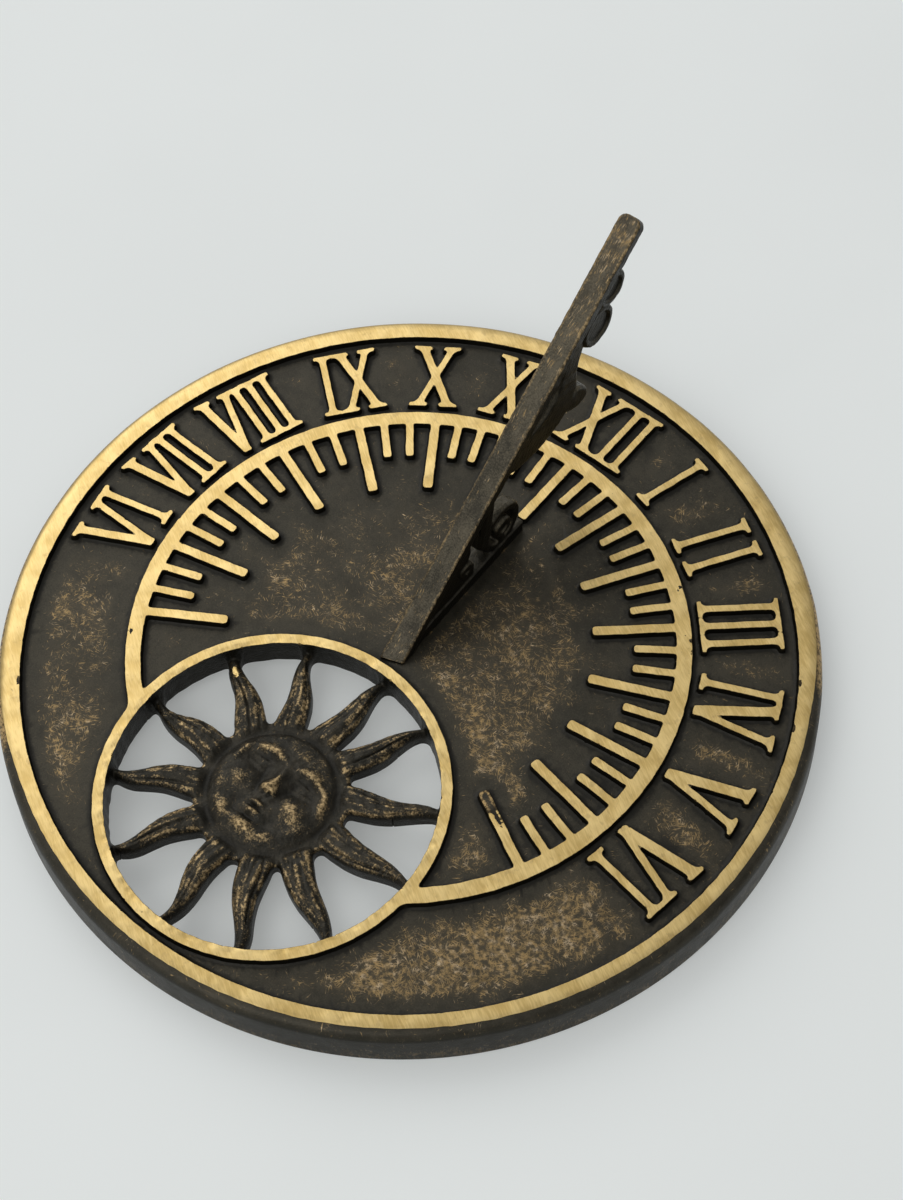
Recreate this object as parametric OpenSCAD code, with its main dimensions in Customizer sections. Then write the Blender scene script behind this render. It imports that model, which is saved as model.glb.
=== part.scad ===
// Cast brass horizontal sundial: a hollow round dial plate with raised numerals, an hour
// scale and a pierced sun, and a scrolled gnomon held on by two screws from beneath.
// +Z is up, +Y points to noon, and the origin is the centre of the foot of the plate.

/* [Dial plate] */
// Diameter of the plate where it stands on its foot
foot_d = 254; // [240:1:290]
// Height of the bright raised faces above the foot
dial_h = 15.4; // [14:0.2:22]
// Outer diameter of the bright rim face
rim_d = 246.6; // [242:0.2:250]
// Width of the bright rim face
rim_w = 4.7; // [3.5:0.1:6]
// Height of the raised faces above the sunken field
relief = 2.3; // [1:0.1:3]
// Thickness of the plate under the field
plate_t = 4.5; // [3:0.1:6]
// Thickness of the skirt at the foot
skirt_t = 5; // [3.5:0.1:7]

/* [Hour scale] */
// Outer diameter of the ring that the hour marks hang from
scale_d = 173.4; // [168:0.2:176]
// Width of that ring
scale_w = 4.7; // [3:0.1:6]
// Angle from one hour mark to the next
hour_step = 16.9; // [15.5:0.1:17.2]
// Hours marked before noon, and again after it
hours_each_side = 7; // [6:1:7]
// Short marks between two hours
marks_between = 2; // [1:1:3]
// Radius at which an hour mark ends, measured from the dial centre
hour_mark_r = 56.5; // [50:0.5:66]
// Width of an hour mark
hour_mark_w = 3.1; // [2:0.1:4]
// Radius at which a short mark ends
short_mark_r = 69; // [60:0.5:76]
// Width of a short mark
short_mark_w = 2.6; // [1.6:0.1:3.2]

/* [Numerals] */
// Radius of the foot of the numerals
numeral_r = 89.3; // [88:0.1:91]
// Height of a numeral
numeral_h = 25.1; // [20:0.1:26]
// Width of the thick strokes
thick_w = 2.7; // [1.8:0.1:3.4]
// Width of the thin strokes
thin_w = 2.2; // [1.4:0.1:3]
// Distance that a serif reaches from the middle of its stroke
serif_reach = 2.8; // [2:0.1:3.4]
// Thickness of a serif at its tip
serif_t = 1; // [0.6:0.1:1.4]
// Height over which a serif runs out into its stroke
serif_rise = 3; // [2:0.1:4]

/* [Sun] */
// Distance from the dial centre to the centre of the sun
sun_back = 64; // [62:0.1:65]
// Outer diameter of the ring round the sun
sun_ring_d = 105.7; // [98:0.2:107]
// Width of that ring
sun_ring_w = 3.3; // [2.4:0.1:5]
// Depth of the ring's wall below the bright faces
sun_wall_h = 10; // [8:0.2:13]
// Number of rays
rays = 12; // [10:1:14]
// Width of a ray at its root
ray_root_w = 10; // [8:0.2:11]
// Width of a ray where it meets the ring
ray_tip_w = 2.6; // [2:0.1:4]
// Sideways swing of a ray
ray_swing = 1.3; // [0:0.1:2]
// Depth of the crest of a ray below the bright faces
ray_sink = 2.6; // [2:0.1:4]
// Height of the ridge along a ray
ray_ridge_h = 1.4; // [0.6:0.1:2]
// Diameter of the face
face_d = 38; // [32:0.5:40]
// Height of the rounded face above its rim
face_rise = 3.2; // [2.4:0.1:3.6]

/* [Gnomon] */
// Angle of the style above the plate
style_angle = 38; // [34:0.5:40]
// Distance that the style's foot reaches behind the dial centre
style_back = 9.4; // [6:0.1:10]
// Length of the style along its slope
style_l = 152; // [120:0.5:156]
// Width of the style
style_w = 7.6; // [6:0.1:10]
// Thickness of the style
style_t = 4; // [3:0.1:5]
// Thickness of the pierced scrollwork
web_t = 5; // [4:0.1:7]
// Distance that the round bosses stand out of the scrollwork, on each side
boss_out = 0.8; // [0:0.1:1.2]
// Width of the rail that stands on the plate
rail_w = 6.4; // [5.6:0.1:8]
// Height of the rail
rail_h = 4.8; // [4:0.1:6]
// Distance from the dial centre to the end of the rail
rail_front = 55; // [52:0.5:60]

/* [Fixings] */
// Thread diameter of the two screws
screw_d = 4; // [3:0.5:4]
// Length of a screw under its head
screw_l = 10; // [9:0.5:11]
// Diameter of a screw head
head_d = 7; // [6:0.1:8]
// Height of a screw head
head_h = 2.6; // [2:0.1:3]
// Outer diameter of a spring washer
washer_d = 7.6; // [7:0.1:9]
// Thickness of a spring washer
washer_t = 1; // [0.6:0.1:1.4]
// Distance from the dial centre to the screw near the style's foot
screw_back_y = 7; // [5:0.5:12]
// Distance from the dial centre to the screw near the heel
screw_front_y = 44; // [42:0.5:46]
// Gap all round a screw in the plate and in its washer
screw_clearance = 0.25; // [0.1:0.05:0.4]
// Gap all round a screw in its tapped hole
thread_clearance = 0.05; // [0.02:0.01:0.1]
// Depth of a tapped hole beyond the end of its screw
thread_spare = 0.6; // [0.4:0.1:0.8]

/* [Hidden] */
$fn = 96;

// Heights above the foot
field_z = dial_h - relief;
under_z = field_z - plate_t;
sun_base_z = dial_h - sun_wall_h;
// Depth that raised work is let into the metal below it, so that the casting is one solid
root = 1;

// Sun
sun_hole_r = sun_ring_d / 2 - sun_ring_w;
ray_step = 360 / rays;
// Depth of the groove between the face and the rays
face_groove = 0.4;

// Style line: the top edge of the style seen from the side, as [distance to noon, height]
style_cos = cos(style_angle);
style_tan = tan(style_angle);
function style_top(y) = (y + style_back) * style_tan;
function style_under(y) = style_top(y) - style_t / style_cos;

screw_ys = [screw_back_y, screw_front_y];

// Numerals round the scale: the hour from noon, the angle by which the numeral stands off its
// even place, then its strokes from the left. A V or an X has the place of its left head and
// the distance to its right head.
NUMERALS = [
    [-6, -0.8, [["V", 0, 11.6], ["I", 15.9]]],
    [-5, -2.5, [["V", 0, 9.4], ["I", 13], ["I", 18]]],
    [-4, -2.3, [["V", 0, 8.8], ["I", 12.4], ["I", 17.3], ["I", 22.2]]],
    [-3, 1.2, [["I", 0], ["X", 5.7, 9.4]]],
    [-2, 0.5, [["X", 0, 10.2]]],
    [-1, -0.4, [["X", 0, 9.4], ["I", 15]]],
    [0, 1.4, [["X", 0, 9.6], ["I", 15.4], ["I", 21.2]]],
    [1, 1.1, [["I", 0]]],
    [2, 0, [["I", 0], ["I", 9.1]]],
    [3, -0.5, [["I", 0], ["I", 6.4], ["I", 12.8]]],
    [4, -0.2, [["I", 0], ["V", 4.6, 11.1]]],
    [5, -1, [["V", 0, 11.4]]],
    [6, -1.6, [["V", 0, 11.2], ["I", 16.8]]],
];

// Angle by which each hour mark stands off its even place, as the hand-made pattern has it,
// from the most hours before noon to the most after it
MOST_HOURS = 7;
HOUR_SHIFTS = [-1.7, -0.9, -1.5, -0.7, 0.8, 1.6, 0.9, 0.9, 0.5, -0.1, -0.5, -0.5, -0.6, -0.7, 0.5];

// Outlines of the gnomon's scrollwork seen from the side, in [distance to noon, height above
// the field]. The first four are smooth curves, the last two have straight sides.
BOW = [
    [46, 37], [55, 33.4], [66, 32.6], [77, 36], [82.5, 44], [83, 54], [86, 63],
    [82, 67], [76, 59], [72, 50], [63, 45.2], [53, 44.5], [48, 42],
];
LEAF_TIP = [[77, 37], [83, 33], [88.4, 34.2], [88, 38.6], [83, 42]];
HEEL_STEM = [
    [33.5, 12], [34.6, 20], [36.4, 28], [37, 33.6], [41.5, 36.2], [41.3, 28], [40, 20.5], [37.4, 12],
];
WEDGE_FRONT = [[30, 1], [31, 9], [27.5, 12.5], [29.5, 17]];
// Middle of the heel scroll, its radius and the width of its strap
HEEL = [44.6, 12.2];
heel_r = 9.4;
heel_strap = 3.2;
// Width of the stalk under the heel's boss
stalk_w = 3.2;
// Height at which the scrollwork starts, inside the rail
web_foot = 1;
// Distance from the style's foot to the back of the wedge
wedge_in = 6;
// Distance from the style's foot to the back of the rail, where the style is as high as the rail
rail_in = rail_h / style_tan;
// Round bosses as [distance to noon, height, radius]
BOSSES = [[97.8, 75.4, 6.4], [91.6, 64.2, 7.4], [44.6, 13, 4], [26, 11, 3.2]];

// A smooth closed curve through hand-chosen points, with some steps between each two
CURVE_STEPS = 5;
function spline(a, b, c, d, t) =
    0.5 * (2 * b + (c - a) * t + (2 * a - 5 * b + 4 * c - d) * t * t
        + (3 * b - a - 3 * c + d) * t * t * t);
function curve(points) = let (n = len(points)) [
    for (i = [0 : n - 1], k = [0 : CURVE_STEPS - 1])
        spline(points[(i + n - 1) % n], points[i], points[(i + 1) % n],
            points[(i + 2) % n], k / CURVE_STEPS)
];

// One stroke of a numeral, from its foot at x0 to its head at x1, with or without serifs
module stroke(x0, x1, w, foot = true, head = true) {
    function mid(y) = x0 + (x1 - x0) * y / numeral_h;
    function side(s) = concat(
        foot ? [[x0 + s * serif_reach, 0], [x0 + s * serif_reach, serif_t]] : [[x0 + s * w / 2, 0]],
        foot ? [[mid(serif_rise) + s * w / 2, serif_rise]] : [],
        head ? [[mid(numeral_h - serif_rise) + s * w / 2, numeral_h - serif_rise]] : [],
        head ? [[x1 + s * serif_reach, numeral_h - serif_t], [x1 + s * serif_reach, numeral_h]]
            : [[x1 + s * w / 2, numeral_h]]
    );
    right = side(1);
    left = side(-1);
    polygon(concat(right, [for (i = [len(left) - 1 : -1 : 0]) left[i]]));
}

module letter(part) {
    x = part[1];
    if (part[0] == "I") {
        stroke(x, x, thin_w);
    } else if (part[0] == "V") {
        tip = x + part[2] / 2;
        stroke(tip, x, thick_w, foot = false);
        stroke(tip, x + part[2], thin_w, foot = false);
    } else {
        stroke(x + part[2], x, thick_w);
        stroke(x, x + part[2], thin_w);
    }
}

module numeral(parts) {
    last = parts[len(parts) - 1];
    width = last[1] + (len(last) > 2 ? last[2] : 0);
    translate([-width / 2, numeral_r]) {
        for (part = parts) letter(part);
    }
}

module numerals() {
    for (entry = NUMERALS) {
        rotate(-entry[0] * hour_step - entry[1]) numeral(entry[2]);
    }
}

// A mark that runs in from the hour scale and has a round end
module mark(end_r, w) {
    outer_r = scale_d / 2 - scale_w / 2;
    translate([-w / 2, end_r + w / 2]) square([w, outer_r - end_r - w / 2]);
    translate([0, end_r + w / 2]) circle(d = w);
}

// Angle of an hour's mark from noon
function hour_angle(hour) = hour * hour_step + HOUR_SHIFTS[hour + MOST_HOURS];

module hour_marks() {
    for (hour = [-hours_each_side : hours_each_side]) {
        rotate(-hour_angle(hour)) mark(hour_mark_r, hour_mark_w);
    }
    for (hour = [-hours_each_side : hours_each_side - 1], k = [1 : marks_between]) {
        share = k / (marks_between + 1);
        rotate(-hour_angle(hour) * (1 - share) - hour_angle(hour + 1) * share)
            mark(short_mark_r, short_mark_w);
    }
}

// The hour scale's ring, left out where the sun crosses it
module scale_ring() {
    difference() {
        circle(d = scale_d);
        circle(d = scale_d - 2 * scale_w);
        translate([0, -sun_back]) circle(d = sun_ring_d - sun_ring_w);
    }
}

// Half width and sideways place of a ray at a distance r from the sun's centre
RAY_STEPS = 9;
ray_from = face_d / 2 - 3;
function ray_t(r) = (r - ray_from) / (sun_hole_r - ray_from);
function ray_half(r, narrow) = let (t = ray_t(r))
    max(0.3, (ray_root_w / 2 + (ray_tip_w - ray_root_w) / 2 * pow(t, 1.25) + 0.5 * sin(360 * t)) - narrow);
function ray_shift(r) = ray_swing * sin(400 * ray_t(r) - 60) * ray_t(r) * 1.2;

module ray_outline(narrow, end_r) {
    rs = [for (i = [0 : RAY_STEPS]) ray_from + (end_r - ray_from) * i / RAY_STEPS];
    polygon(concat(
        [for (r = rs) [ray_shift(r) + ray_half(r, narrow), r]],
        [for (i = [RAY_STEPS : -1 : 0]) [ray_shift(rs[i]) - ray_half(rs[i], narrow), rs[i]]]
    ));
}

module sun_ray() {
    crest_z = dial_h - ray_sink;
    shoulder_z = crest_z - ray_ridge_h;
    translate([0, 0, sun_base_z])
        linear_extrude(shoulder_z - sun_base_z) ray_outline(0, sun_hole_r + sun_ring_w / 3);
    translate([0, 0, shoulder_z - root])
        linear_extrude(ray_ridge_h + root) ray_outline(1, sun_hole_r + sun_ring_w / 3);
}

// A plain round face: a domed disc with brows, eyes, nose, cheeks, lips and chin
module face_features(r, top) {
    // Nose, lips and chin
    translate([0, -0.05 * r, top - 0.12 * r])
        rotate([-86, 0, 0]) cylinder(r = 0.11 * r, h = 0.44 * r, $fn = 32);
    translate([0, -0.06 * r, top - 0.09 * r]) sphere(r = 0.14 * r, $fn = 32);
    for (lip_y = [-0.34, -0.49]) {
        translate([0, lip_y * r, top - 0.07 * r])
            rotate([0, 90, 0]) cylinder(r = 0.07 * r, h = 0.34 * r, center = true, $fn = 32);
    }
    translate([0, -0.72 * r, top - 0.24 * r]) sphere(r = 0.2 * r, $fn = 32);
    for (side = [-1, 1]) {
        // Cheek, eye and brow
        translate([side * 0.47 * r, -0.16 * r, top - 0.25 * r]) sphere(r = 0.26 * r, $fn = 32);
        translate([side * 0.4 * r, 0.24 * r, top - 0.14 * r]) sphere(r = 0.12 * r, $fn = 32);
        translate([side * 0.38 * r, 0.47 * r, top - 0.15 * r])
            rotate([0, 90 + side * 8, 0]) cylinder(r = 0.1 * r, h = 0.42 * r, center = true, $fn = 32);
    }
}

module sun_face() {
    r = face_d / 2;
    rim_z = dial_h - ray_sink - ray_ridge_h - face_groove;
    top = rim_z + face_rise;
    // Radius of a dome that stands face_rise high over a rim at nine tenths of r
    dome_r = (pow(0.9 * r, 2) + pow(face_rise, 2)) / (2 * face_rise);
    translate([0, 0, sun_base_z]) cylinder(r = r, h = rim_z - sun_base_z);
    intersection() {
        union() {
            translate([0, 0, top - dome_r]) sphere(r = dome_r, $fn = 64);
            face_features(r, top);
        }
        translate([0, 0, rim_z - root]) cylinder(r = r, h = dial_h - rim_z + root);
    }
}

// Section of the plate's skirt, rim and field, turned about the dial's axis
SHOULDER_STEPS = 4;
module plate_section() {
    shoulder_r = foot_d / 2 - rim_d / 2;
    shoulder = [for (i = [0 : SHOULDER_STEPS]) let (a = 90 * i / SHOULDER_STEPS)
        [rim_d / 2 + (shoulder_r - 0.6) * cos(a), dial_h - shoulder_r * (1 - sin(a))]];
    inner_r = foot_d / 2 - skirt_t;
    polygon(concat(
        [[0, under_z], [inner_r - 2, under_z], [inner_r, under_z - 2], [inner_r, 0], [foot_d / 2, 0]],
        shoulder,
        [[rim_d / 2 - rim_w, dial_h], [rim_d / 2 - rim_w, field_z], [0, field_z]]
    ));
}

module dial_plate() {
    color([0.24, 0.20, 0.15]) difference() {
        union() {
            rotate_extrude($fn = 128) plate_section();
            translate([0, 0, field_z - root]) linear_extrude(relief + root) {
                scale_ring();
                difference() {
                    hour_marks();
                    translate([0, -sun_back]) circle(d = sun_ring_d);
                }
            }
            translate([0, 0, field_z - root]) linear_extrude(relief + root) numerals();
            translate([0, -sun_back, sun_base_z]) cylinder(d = sun_ring_d, h = sun_wall_h);
        }
        translate([0, -sun_back, -1]) cylinder(r = sun_hole_r, h = dial_h + 2);
        for (y = screw_ys) {
            translate([0, y, under_z - 1]) cylinder(d = screw_d + 2 * screw_clearance, h = plate_t + 2);
        }
    }
    color([0.30, 0.25, 0.18]) translate([0, -sun_back, 0]) {
        for (i = [0 : rays - 1]) rotate(-i * ray_step) sun_ray();
        sun_face();
    }
}

// The back part of the web, from the style's foot to the scroll behind the heel
module scroll_wedge() {
    front_y = WEDGE_FRONT[len(WEDGE_FRONT) - 1][0];
    back_y = wedge_in - style_back;
    polygon(concat(
        [[back_y, web_foot]],
        WEDGE_FRONT,
        [[front_y, style_under(front_y) + 1], [back_y, style_under(back_y) + 1]]
    ));
}

module heel_scroll() {
    difference() {
        translate(HEEL) circle(r = heel_r);
        translate(HEEL) circle(r = heel_r - heel_strap);
    }
    polygon(curve(HEEL_STEM));
    translate([HEEL[0] - stalk_w / 2, web_foot]) square([stalk_w, HEEL[1] - web_foot]);
}

module side_plate(thickness) {
    rotate([90, 0, 90]) linear_extrude(thickness, center = true) children();
}

// The style: a flat bar with rounded ends, laid along the slope
module style_bar() {
    end_r = 2.6;
    rotate([style_angle, 0, 0]) translate([0, 0, -style_t]) linear_extrude(style_t) {
        translate([-style_w / 2, 0]) square([style_w, style_l - end_r]);
        translate([-style_w / 2 + end_r, style_l - 2 * end_r]) square([style_w - 2 * end_r, 2 * end_r]);
        for (side = [-1, 1]) {
            translate([side * (style_w / 2 - end_r), style_l - end_r]) circle(r = end_r);
        }
    }
}

module gnomon() {
    color([0.22, 0.19, 0.15]) translate([0, 0, field_z]) difference() {
        union() {
            translate([0, -style_back, 0]) style_bar();
            translate([-rail_w / 2, rail_in - style_back, 0])
                cube([rail_w, rail_front + style_back - rail_in, rail_h]);
            side_plate(web_t) {
                polygon(curve(BOW));
                polygon(curve(LEAF_TIP));
                scroll_wedge();
                heel_scroll();
            }
            for (boss = BOSSES) {
                side_plate(web_t + 2 * boss_out) translate([boss[0], boss[1]]) circle(r = boss[2]);
            }
        }
        // The foot is cut flat, where it stands on the plate
        translate([-style_w, -style_back - style_t, -2 * style_t])
            cube([2 * style_w, rail_front + 4 * style_t, 2 * style_t]);
        for (y = screw_ys) {
            translate([0, y, -1]) cylinder(d = screw_d + 2 * thread_clearance, h = thread_depth() + 1);
        }
    }
}

// Length of thread that a screw has above the plate, and the depth of its hole
function thread_grip() = screw_l - washer_t - plate_t;
function thread_depth() = thread_grip() + thread_spare;

// Slotted cheese-head screws, head down, with their threads in the gnomon
module gnomon_screws() {
    seat_z = under_z - washer_t;
    slot_w = 1.1;
    color([0.72, 0.58, 0.32]) for (y = screw_ys) translate([0, y, seat_z]) {
        difference() {
            translate([0, 0, -head_h]) cylinder(d = head_d, h = head_h);
            translate([-head_d, -slot_w / 2, -head_h - 1]) cube([2 * head_d, slot_w, head_h / 2 + 1]);
        }
        translate([0, 0, -root / 2]) cylinder(d = screw_d, h = screw_l + root / 2);
    }
}

// Split spring washers between the screw heads and the plate
module spring_washers() {
    split_w = 0.8;
    color([0.62, 0.62, 0.6]) for (y = screw_ys) translate([0, y, under_z - washer_t]) difference() {
        cylinder(d = washer_d, h = washer_t);
        translate([0, 0, -1]) cylinder(d = screw_d + 2 * screw_clearance, h = washer_t + 2);
        rotate(30) translate([0, -split_w / 2, -1]) cube([washer_d, split_w, washer_t + 2]);
    }
}

dial_plate();
gnomon();
gnomon_screws();
spring_washers();
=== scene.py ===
"""Looks of a cast brass horizontal sundial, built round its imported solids.

Lengths in the classes are in millimetres, in the dial's own frame: +Z up, +Y to noon, and the
origin at the centre of the plate's foot. Angles on the plate run clockwise from noon, in
degrees. Meshes are scaled to metres when they are made.
"""

import logging
import math
from dataclasses import dataclass, field
from enum import Enum
from typing import Callable, Optional, Sequence

import bpy
import numpy as np
from mathutils import Matrix, Vector
from mathutils.geometry import tessellate_polygon


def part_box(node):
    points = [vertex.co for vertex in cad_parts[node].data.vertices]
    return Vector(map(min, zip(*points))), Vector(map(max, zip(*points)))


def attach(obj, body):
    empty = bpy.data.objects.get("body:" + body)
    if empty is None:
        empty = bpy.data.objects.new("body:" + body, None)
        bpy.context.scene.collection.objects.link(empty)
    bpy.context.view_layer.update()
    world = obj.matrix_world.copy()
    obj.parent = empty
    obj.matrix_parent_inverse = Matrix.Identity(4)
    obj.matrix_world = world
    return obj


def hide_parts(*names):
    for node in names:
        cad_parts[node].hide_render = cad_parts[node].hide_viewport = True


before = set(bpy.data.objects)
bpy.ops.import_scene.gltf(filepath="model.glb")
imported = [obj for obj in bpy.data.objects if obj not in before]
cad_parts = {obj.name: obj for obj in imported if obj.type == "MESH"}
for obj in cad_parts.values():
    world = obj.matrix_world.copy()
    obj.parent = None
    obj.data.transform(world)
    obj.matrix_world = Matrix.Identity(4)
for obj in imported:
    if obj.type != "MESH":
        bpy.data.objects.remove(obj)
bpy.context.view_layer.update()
MM = 0.001
Points = np.ndarray
Distance = Callable[[Points], np.ndarray]
log = logging.getLogger("sundial")


def smooth_min(a: np.ndarray, b: np.ndarray, reach: float) -> np.ndarray:
    """Blend two distances so that their shapes meet in a fillet.

    Args:
        a: Distances to the first shape.
        b: Distances to the second shape.
        reach: How far the blend reaches, in millimetres.

    Returns:
        The distance to both shapes together.
    """
    share = np.clip(0.5 + 0.5 * (b - a) / reach, 0.0, 1.0)
    return b * (1 - share) + a * share - reach * share * (1 - share)


def smooth_step(low: float, high: float, value: np.ndarray) -> np.ndarray:
    """Rise smoothly from 0 at low to 1 at high."""
    t = np.clip((value - low) / (high - low), 0.0, 1.0)
    return t * t * (3 - 2 * t)


def unevenness(points: Points, wavelength: float, seed: int, waves: int = 9) -> np.ndarray:
    """Give the slow unevenness of a sand casting, the same in each run.

    Args:
        points: Places, one per row.
        wavelength: Length of the longest waves, in millimetres.
        seed: Which unevenness.
        waves: How many waves are added together.

    Returns:
        Values of about -1 to 1, one per row.
    """
    rng = np.random.default_rng(seed)
    total = np.zeros(len(points))
    for _ in range(waves):
        way = rng.normal(size=points.shape[1])
        way *= 2 * math.pi * rng.uniform(1.0, 2.2) / (wavelength * np.linalg.norm(way))
        total += np.sin(points @ way + rng.uniform(0, 2 * math.pi))
    return total / math.sqrt(waves)


def outline_distance(points: Points, outline: Points) -> np.ndarray:
    """Measure from points to a closed outline with straight sides, negative inside.

    Args:
        points: Places, one per row.
        outline: Corners of the outline, in order.

    Returns:
        The distances.
    """
    x, y = points[:, 0], points[:, 1]
    nearest = np.full(len(points), np.inf)
    inside = np.zeros(len(points), bool)
    for start, end in zip(outline, np.roll(outline, -1, axis=0)):
        side = end - start
        offset = points - start
        share = np.clip((offset @ side) / (side @ side), 0.0, 1.0)
        nearest = np.minimum(nearest, ((offset - share[:, None] * side) ** 2).sum(1))
        if start[1] != end[1]:
            crosses = (start[1] <= y) != (end[1] <= y)
            inside ^= crosses & (x < start[0] + (y - start[1]) * side[0] / side[1])
    return np.where(inside, -1.0, 1.0) * np.sqrt(nearest)


def bar_distance(across: np.ndarray, along: np.ndarray, half: tuple[float, float],
                 corner: float) -> np.ndarray:
    """Measure to a bar with rounded corners whose middle is at zero, negative inside.

    Args:
        across: Places across the bar.
        along: Places along the bar.
        half: Half its width and half its length.
        corner: Radius of its corners.

    Returns:
        The distances.
    """
    x = np.abs(across) - (half[0] - corner)
    y = np.abs(along) - (half[1] - corner)
    outside = np.hypot(np.maximum(x, 0), np.maximum(y, 0))
    return outside + np.minimum(np.maximum(x, y), 0) - corner


def turned(points: Points, angle: float) -> Points:
    """Turn places so that what lies at an angle from noon comes to lie on +Y.

    Args:
        points: Places, one per row.
        angle: The angle in degrees.

    Returns:
        The turned places.
    """
    a = math.radians(angle)
    c, s = math.cos(a), math.sin(a)
    return np.stack([points[:, 0] * c - points[:, 1] * s, points[:, 0] * s + points[:, 1] * c], -1)


def smooth_curve(points: Sequence[tuple[float, float]], steps: int = 6) -> Points:
    """Run a smooth closed curve through given points.

    Args:
        points: Points that the curve runs through.
        steps: How many points it gets for each of them.

    Returns:
        The curve's points.
    """
    p = np.array(points, float)
    before, after, next_after = np.roll(p, 1, 0), np.roll(p, -1, 0), np.roll(p, -2, 0)
    rows = []
    for t in np.arange(steps) / steps:
        rows.append(0.5 * (2 * p + (after - before) * t
                           + (2 * before - 5 * p + 4 * after - next_after) * t * t
                           + (3 * p - before - 3 * after + next_after) * t ** 3))
    return np.stack(rows, 1).reshape(-1, 2)


def slope_at(distance: Distance, points: Points, nudge: float) -> Points:
    """Give the direction in which a distance rises at each place, as long as the rise is steep.

    Args:
        distance: What is measured.
        points: Places, one per row.
        nudge: How far to each side it is measured.

    Returns:
        The slopes along X and Y, one per row.
    """
    return np.stack([
        distance(points + [nudge, 0]) - distance(points - [nudge, 0]),
        distance(points + [0, nudge]) - distance(points - [0, nudge]),
    ], -1) / (2 * nudge)


@dataclass
class Sheet:
    """Faces that lie over a plane, with small cells where outlines run and large ones elsewhere."""

    points: Points
    faces: list[tuple[int, ...]]

    def loops(self) -> list[list[int]]:
        """Find the closed edges of the sheet, each a list of points with the metal on its left.

        Returns:
            The loops, the longest first.
        """
        used = set()
        for face in self.faces:
            used.update(zip(face, face[1:] + face[:1]))
        onward: dict[int, list[int]] = {}
        for a, b in used:
            if (b, a) not in used:
                onward.setdefault(a, []).append(b)
        found = []
        while onward:
            first = min(onward)
            loop, here = [], first
            while here in onward:
                loop.append(here)
                ways = onward[here]
                step = ways.pop()
                if not ways:
                    del onward[here]
                here = step
            found.append(loop)
        return sorted(found, key=len, reverse=True)


# Half the diagonal of a cell, for a side of 1
HALF_DIAGONAL = 0.71
# How near an outline or the metal's edge a corner counts as on it, for a cell of 1
ON_OUTLINE = 0.08
ON_EDGE = 0.06
# How far to each side a slope is measured, and the area below which a triangle is folded
NUDGE = 0.1
FOLDED_AREA = 0.004
# Least square of a slope, so that places without one don't send corners far
LEAST_SLOPE = 0.25
# What a diagonal's length and a folded triangle beside it count against it
LENGTH_COUNTS = 0.01
FOLD_COUNTS = 5.0
# How many corners a lattice has room for each way
STRIDE = 1 << 20


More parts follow.
